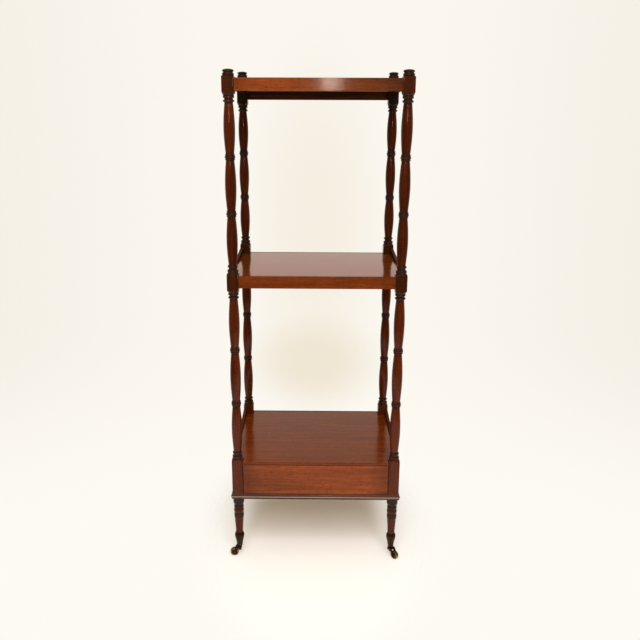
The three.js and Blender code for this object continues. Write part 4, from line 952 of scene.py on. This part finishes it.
class WHATNOT_OT_casters(bpy.types.Operator):
    """Make the brass casters: cups on the legs, forks with swivel pins, wheels and axles"""

    bl_idname = "whatnot.casters"
    bl_label = "Brass casters"

    def execute(self, context):
        rim = context.scene.whatnot_sizes.wheel_radius / MM
        for corner in CORNERS:
            self.cup(corner)
            self.fork(corner)
            self.axle(corner)
            self.wheel(corner, rim)
        return {"FINISHED"}

    def cup(self, corner):
        outside = [(3.6, 31.0), (7.0, 31.0), (7.5, 31.4)]
        outside += [(7.5 + 2.2 * (i / 8) ** 1.6, 31.4 + 16.0 * i / 8) for i in range(1, 9)]
        outside += [(9.7 + 1.5 * math.sin(math.pi / 2 * i / 6), 47.4 + 8.0 * i / 6) for i in range(1, 7)]
        outside += [(r, z) for z, r in bead(55.9, 66.8, 11.1, 12.3, 14)]
        outside += [(10.6, 67.0), (10.6, 69.6), (10.3, 70.0), (9.3, 70.0)]
        inside = [(6.6, 43.0), (6.6, 38.0), (3.6, 38.0)]
        work = bmesh.new()
        revolve(work, outside + inside, 48, under_leg(corner), closed=True)
        brass_piece(corner, "cup", work, "carcass")

    def fork(self, corner):
        work = bmesh.new()
        place = caster_place(corner)
        outline = [(-5.0, 22.4), (-5.0, 28.0), (9.0, 28.0)]
        arc = [math.pi * (2.3 - 1.15 * i / 18) for i in range(19)]
        outline += [(TRAIL + 3.6 * math.cos(a), AXLE_HEIGHT + 3.6 * math.sin(a)) for a in arc]
        outline.append((3.85, 22.4))
        crown = [(-5.0, 22.4), (7.0, 22.4), (7.0, 28.0), (-5.0, 28.0)]
        inner = FORK_HALF - ARM
        for sawn, low, high in (
                (outline, -FORK_HALF, -inner), (outline, inner, FORK_HALF), (crown, -inner, inner)):
            extrude_outline(work, sawn, 1, low, high, place)
        pin = [(0.0, 16.0), (3.2, 16.0), (3.6, 16.4), (5.5, 25.0), (5.5, 30.2), (5.1, 30.6), (3.1, 30.6)]
        pin += [(3.1, 38.6), (4.2, 38.6), (4.6, 39.0), (4.6, 40.4), (3.8, 41.0), (0.0, 41.0)]
        revolve(work, pin, 32, place)
        soften(brass_piece(corner, "fork", work, f"{corner}_caster"), 0.35 * MM)

    def axle(self, corner):
        inner = FORK_HALF + 0.3
        half = [(1.5, inner), (2.6, inner), (2.6, inner + 0.5), (2.0, inner + 0.9), (0.0, inner + 1.0)]
        profile = [(radius, -across) for radius, across in half[::-1]] + half
        work = bmesh.new()
        revolve(work, profile, 24, axle_place(corner))
        brass_piece(corner, "axle", work, f"{corner}_caster")

    def wheel(self, corner, rim):
        half = WHEEL_HALF
        outer = [(1.8, half), (4.2, half), (4.4, half - 0.2), (4.4, half - 1.2)]
        outer += [(rim - 4.0, half - 1.2), (rim - 3.4, half - 0.9), (rim - 3.2, half)]
        outer += [(rim - ROUND_OVER * (1 - math.sin(turn)), half - ROUND_OVER * (1 - math.cos(turn)))
                  for turn in (math.pi / 2 * i / 8 for i in range(9))]
        profile = outer + [(radius, -across) for radius, across in outer[::-1]]
        work = bmesh.new()
        faces = revolve(work, profile, 48, axle_place(corner), closed=True)
        back = axle_place(corner).inverted()
        for face in faces:
            # The tread and the faces of the hub are rubbed, and the hollow between them is not
            centre = back @ face.calc_center_median()
            radius = math.hypot(centre.x, centre.y) / MM
            face.material_index = 0 if radius > rim - 3.3 or abs(centre.z) / MM > half - 0.15 else 1
        brass_piece(corner, "wheel", work, f"{corner}_caster_wheel", "brass rubbed", "brass cast")


def screw_tree():
    """Sets one screw round a ring, and that ring on each of the four legs."""
    tree, given = open_tree("screws of the caster cups", {
        "Screw": ("Geometry",),
        "Screws Per Cup": ("Int", 4),
        "Ring Radius": ("Float",),
        "Ring Height": ("Float",),
        "Spacing X": ("Float",),
        "Spacing Y": ("Float",),
        "Finish": ("Material",),
    }, "Screws")
    add = partial(add_node, tree)
    ring = add("GeometryNodeMeshCircle", {
        "Vertices": given["Screws Per Cup"], "Radius": given["Ring Radius"]})[0]
    place = add("GeometryNodeInputPosition")[0]
    outward = add("FunctionNodeAlignRotationToVector", {"Vector": place}, axis="X")[0]
    ring = add("GeometryNodeInstanceOnPoints", {
        "Points": ring, "Instance": given["Screw"], "Rotation": outward})[0]
    lift = add("ShaderNodeCombineXYZ", {"Z": given["Ring Height"]})[0]
    ring = add("GeometryNodeTransform", {
        "Geometry": ring, "Translation": lift, "Rotation": (0.0, 0.0, math.pi / 4)})[0]
    legs = add("GeometryNodeMeshGrid", {
        "Size X": given["Spacing X"], "Size Y": given["Spacing Y"], "Vertices X": 2, "Vertices Y": 2})[0]
    screws = add("GeometryNodeInstanceOnPoints", {"Points": legs, "Instance": ring})[0]
    screws = add("GeometryNodeRealizeInstances", {"Geometry": screws})[0]
    screws = add("GeometryNodeSetMaterial", {"Geometry": screws, "Material": given["Finish"]})[0]
    add("NodeGroupOutput", {"Screws": screws})
    return tree


class WHATNOT_OT_screws(bpy.types.Operator):
    """Set the small slotted screws that hold the caster cups on the legs"""

    bl_idname = "whatnot.screws"
    bl_label = "Caster screws"

    def execute(self, context):
        sizes = context.scene.whatnot_sizes
        radius = sizes.screw_radius / MM
        work = bmesh.new()
        shank = [(0.0, -4.0), (0.8, -3.0), (0.8, -1.0), (radius, -0.1), (radius, 0.05), (0.0, 0.05)]
        revolve(work, shank, 16, Matrix.Rotation(math.pi / 2, 4, "Y"))
        # The two lands of the head, on both sides of the slot, are 0.4 mm high and narrower at the top
        slot = 0.28
        taper = 0.82
        for sign in (-1, 1):
            start = math.asin(slot / radius)
            arc = [start + (math.pi - 2 * start) * i / 8 for i in range(9)]
            outline = [(sign * radius * math.cos(a), sign * radius * math.sin(a)) for a in arc]
            low = [Vector((0.0, u, v)) * MM for u, v in outline]
            high = [Vector((0.4, u * taper, max(abs(v) * taper, slot) * sign)) * MM for u, v in outline]
            bridge(work, low, high)
        mesh = run_nodes(mesh_from("one screw", work), screw_tree(), {
            "Screws Per Cup": sizes.screws_per_cup,
            "Ring Radius": 10.35 * MM,
            "Ring Height": 50.5 * MM,
            "Spacing X": 2 * HALF_X * MM,
            "Spacing Y": 2 * HALF_Y * MM,
            "Finish": finish_of("brass rubbed"),
        })
        new_piece("caster_cup_screws", mesh, "brass rubbed", "carcass", "brass")
        return {"FINISHED"}


# Studio


def soft_light(name, place, target, size, power, mirrored):
    """A rectangular lamp. One that isn't mirrored lights the piece but leaves no spot on the polish."""
    light = bpy.data.lights.new(name, "AREA")
    light.shape = "RECTANGLE"
    light.size, light.size_y = size
    light.energy = power
    obj = bpy.data.objects.new(name, light)
    bpy.context.scene.collection.objects.link(obj)
    obj.location = place
    obj.rotation_euler = (Vector(target) - Vector(place)).to_track_quat("-Z", "Y").to_euler()
    obj.visible_glossy = mirrored
    return obj


def studio_floor(paper):
    """Pale paper, lit and shaded near the piece, with the background showing instead further off.

    The polish mirrors the lit paper up to two metres off, and the dark room beyond it.
    """
    work = bmesh.new()
    bmesh.ops.create_grid(work, x_segments=1, y_segments=1, size=6.0)
    floor = bpy.data.objects.new("studio_floor", mesh_from("studio_floor", work))
    bpy.context.scene.collection.objects.link(floor)
    material, tree, shader = new_material("matt paper floor", {
        "Roughness": 0.9, "Specular IOR Level": 0.0, "Base Color": opaque(paper)})
    floor.data.materials.append(material)
    add = partial(add_node, tree)
    place = add("ShaderNodeTexCoord")["Object"]
    paths = add("ShaderNodeLightPath")
    # For each ray: how much nearer the end is at the sides, and where the fade starts and ends in metres
    gone = 0.0
    for ray, aside, near, end in (("Is Camera Ray", 1.6, 0.22, 0.60), ("Is Glossy Ray", 1.0, 0.9, 2.0)):
        far = add("ShaderNodeVectorMath", {0: place, 1: (aside, 1.0, 1.0)}, operation="MULTIPLY")[0]
        far = add("ShaderNodeVectorMath", {0: far}, operation="LENGTH")["Value"]
        fade = add("ShaderNodeMapRange", {"Value": far, 1: near, 2: end}, interpolation_type="SMOOTHSTEP")[0]
        gone = add("ShaderNodeMath", {0: paths[ray], 1: fade, 2: gone}, operation="MULTIPLY_ADD")[0]
    clear = add("ShaderNodeBsdfTransparent")[0]
    mixed = add("ShaderNodeMixShader", {0: gone, 1: shader.outputs[0], 2: clear})[0]
    tree.links.new(mixed, tree.nodes["Material Output"].inputs["Surface"])


# The scale and the shift that centre a direction on each spot of painted shadow behind the piece, and how
# deep the spot is. It is full within 0.3 of its centre and gone at 1.5, in its own scale
BACKDROP_SHADOW_SPOTS = (
    ((12.5, 0.0, 5.0), (0.0, 0.0, 0.60), 0.5),
    ((12.5, 0.0, 18.0), (0.0, 0.0, 5.76), 1.0),
)


def studio_world(colours):
    """A paper sweep round the piece, its ceiling in the dark.

    The camera sees it plain, a little darker far to the sides and in a painted shadow straight behind the
    piece. The polish mirrors it bright up to eye level and darker above, and mirrors the side of the camera
    as a dark room. The weak light from all sides is warm, as it comes off the floor and the walls of the
    room.
    """
    world = bpy.data.worlds.new("studio")
    world.use_nodes = True
    bpy.context.scene.world = world
    tree = world.node_tree
    tree.nodes.clear()
    add = partial(add_node, tree)
    way = add("ShaderNodeTexCoord")["Generated"]
    parts = add("ShaderNodeSeparateXYZ", {0: way})
    aside = add("ShaderNodeMath", {0: parts["X"]}, operation="ABSOLUTE")[0]
    # Each value is eased from between its first two limits to between the other two, or to a share. A Z of
    # 0.19 is 11 degrees up, and 0.62 is 38 degrees up
    eased = {}
    for key, value, *limits in (
            ("aside", aside, 0.1, 0.55), ("below", parts["Z"], -0.25, -0.5),
            ("room", parts["Y"], -0.35, 0.45, 0.08, 1.0), ("ceiling", parts["Z"], 0.10, 0.70, 0.95, 0.12)):
        inputs = {"Value": value, **dict(enumerate(limits, 1))}
        eased[key] = add("ShaderNodeMapRange", inputs, interpolation_type="SMOOTHSTEP")[0]
    layers = [(eased["aside"], colours.background_edge), (eased["below"], colours.paper)]
    # Behind the piece the paper is a little darker and warmer, a painted shadow of the piece, most of all
    # above the base
    for scale, shift, depth in BACKDROP_SHADOW_SPOTS:
        spot = add("ShaderNodeVectorMath", {0: way, 1: scale, 2: shift}, operation="MULTIPLY_ADD")[0]
        spot = add("ShaderNodeVectorMath", {0: spot}, operation="LENGTH")["Value"]
        spot = add("ShaderNodeMapRange", {
            "Value": spot, 1: 0.3, 2: 1.5, 3: depth, 4: 0.0}, interpolation_type="SMOOTHSTEP")[0]
        layers.append((spot, colours.backdrop_shadow))
    paths = add("ShaderNodeLightPath")
    layers.append((paths["Is Diffuse Ray"], colours.bounced))
    light = opaque(colours.background)
    for share, laid in layers:
        light = add("ShaderNodeMix", {0: share, 6: light, 7: opaque(laid)}, data_type="RGBA")[2]
    room = add("ShaderNodeMath", {0: eased["room"], 1: eased["ceiling"]}, operation="MULTIPLY")[0]
    mirrored = add("ShaderNodeMath", {
        0: paths["Is Glossy Ray"], 1: paths["Is Transmission Ray"]}, operation="MAXIMUM")[0]
    strength = 0.5
    for share, level in ((mirrored, room), (paths["Is Camera Ray"], 1.0)):
        strength = add("ShaderNodeMix", {0: share, 2: strength, 3: level}, data_type="FLOAT")[0]
    light = add("ShaderNodeBackground", {"Color": light, "Strength": strength})[0]
    add("ShaderNodeOutputWorld", {"Surface": light})


class WHATNOT_OT_stage(bpy.types.Operator):
    """Set the pale floor, the studio lights and the camera at the photograph's angle"""

    bl_idname = "whatnot.stage"
    bl_label = "Studio"

    def execute(self, context):
        sizes = context.scene.whatnot_sizes
        colours = context.scene.whatnot_colours
        studio_floor(colours.floor)
        studio_world(colours)
        # Where each lamp hangs, what it points at, and its width and height, all in metres
        soft_light("front_light", (0.1, -1.95, 2.2), (0, 0, 0.4), (1.6, 1.6), sizes.front_power, False)
        soft_light("top_light", (0, -0.4, 2.9), (0, 0, 0), (2.2, 2.2), sizes.top_power, True)
        catch = soft_light(
            "catch_light", (0.0655, -2.1, 1.5), (0, 0, 1.2), (0.08, 0.42), sizes.catch_power, True)
        catch.data.color = linear("#ffe6d4")
        # The camera that was fitted to the photograph's blocks, rails and posts
        camera = bpy.data.cameras.new("camera")
        camera.lens = 38.637
        camera.shift_x = 0.0179
        camera.sensor_width = 36.0
        obj = bpy.data.objects.new("camera", camera)
        context.scene.collection.objects.link(obj)
        obj.location = (-0.0059, -1.7621, 1.0876)
        obj.rotation_euler = (math.pi / 2 - 0.26574, -0.0037, 0.0096)
        context.scene.camera = obj
        context.scene.view_settings.view_transform = "Standard"
        return {"FINISHED"}


class WHATNOT_PT_panel(bpy.types.Panel):
    """Sizes, colours and the pieces to make"""

    bl_idname = "WHATNOT_PT_panel"
    bl_label = "Mahogany Whatnot"
    bl_space_type = "VIEW_3D"
    bl_region_type = "UI"
    bl_category = "Whatnot"

    def draw(self, context):
        layout = self.layout
        for group in (context.scene.whatnot_sizes, context.scene.whatnot_colours):
            box = layout.box()
            for name in group.__annotations__:
                box.prop(group, name)
        for operator in OPERATORS:
            layout.operator(operator.bl_idname)


OPERATORS = (
    WHATNOT_OT_stage,
    WHATNOT_OT_posts,
    WHATNOT_OT_finials,
    WHATNOT_OT_legs,
    WHATNOT_OT_shelves,
    WHATNOT_OT_galleries,
    WHATNOT_OT_base,
    WHATNOT_OT_mouldings,
    WHATNOT_OT_drawer,
    WHATNOT_OT_casters,
    WHATNOT_OT_screws,
)
CLASSES = (WhatnotSizes, WhatnotColours, *OPERATORS, WHATNOT_PT_panel)


def register():
    for cls in CLASSES:
        bpy.utils.register_class(cls)
    bpy.types.Scene.whatnot_sizes = PointerProperty(type=WhatnotSizes)
    bpy.types.Scene.whatnot_colours = PointerProperty(type=WhatnotColours)


def unregister():
    del bpy.types.Scene.whatnot_colours
    del bpy.types.Scene.whatnot_sizes
    for cls in reversed(CLASSES):
        bpy.utils.unregister_class(cls)


def main():
    register()
    for operator in OPERATORS:
        group, name = operator.bl_idname.split(".")
        getattr(getattr(bpy.ops, group), name)()


if __name__ == "__main__":
    main()
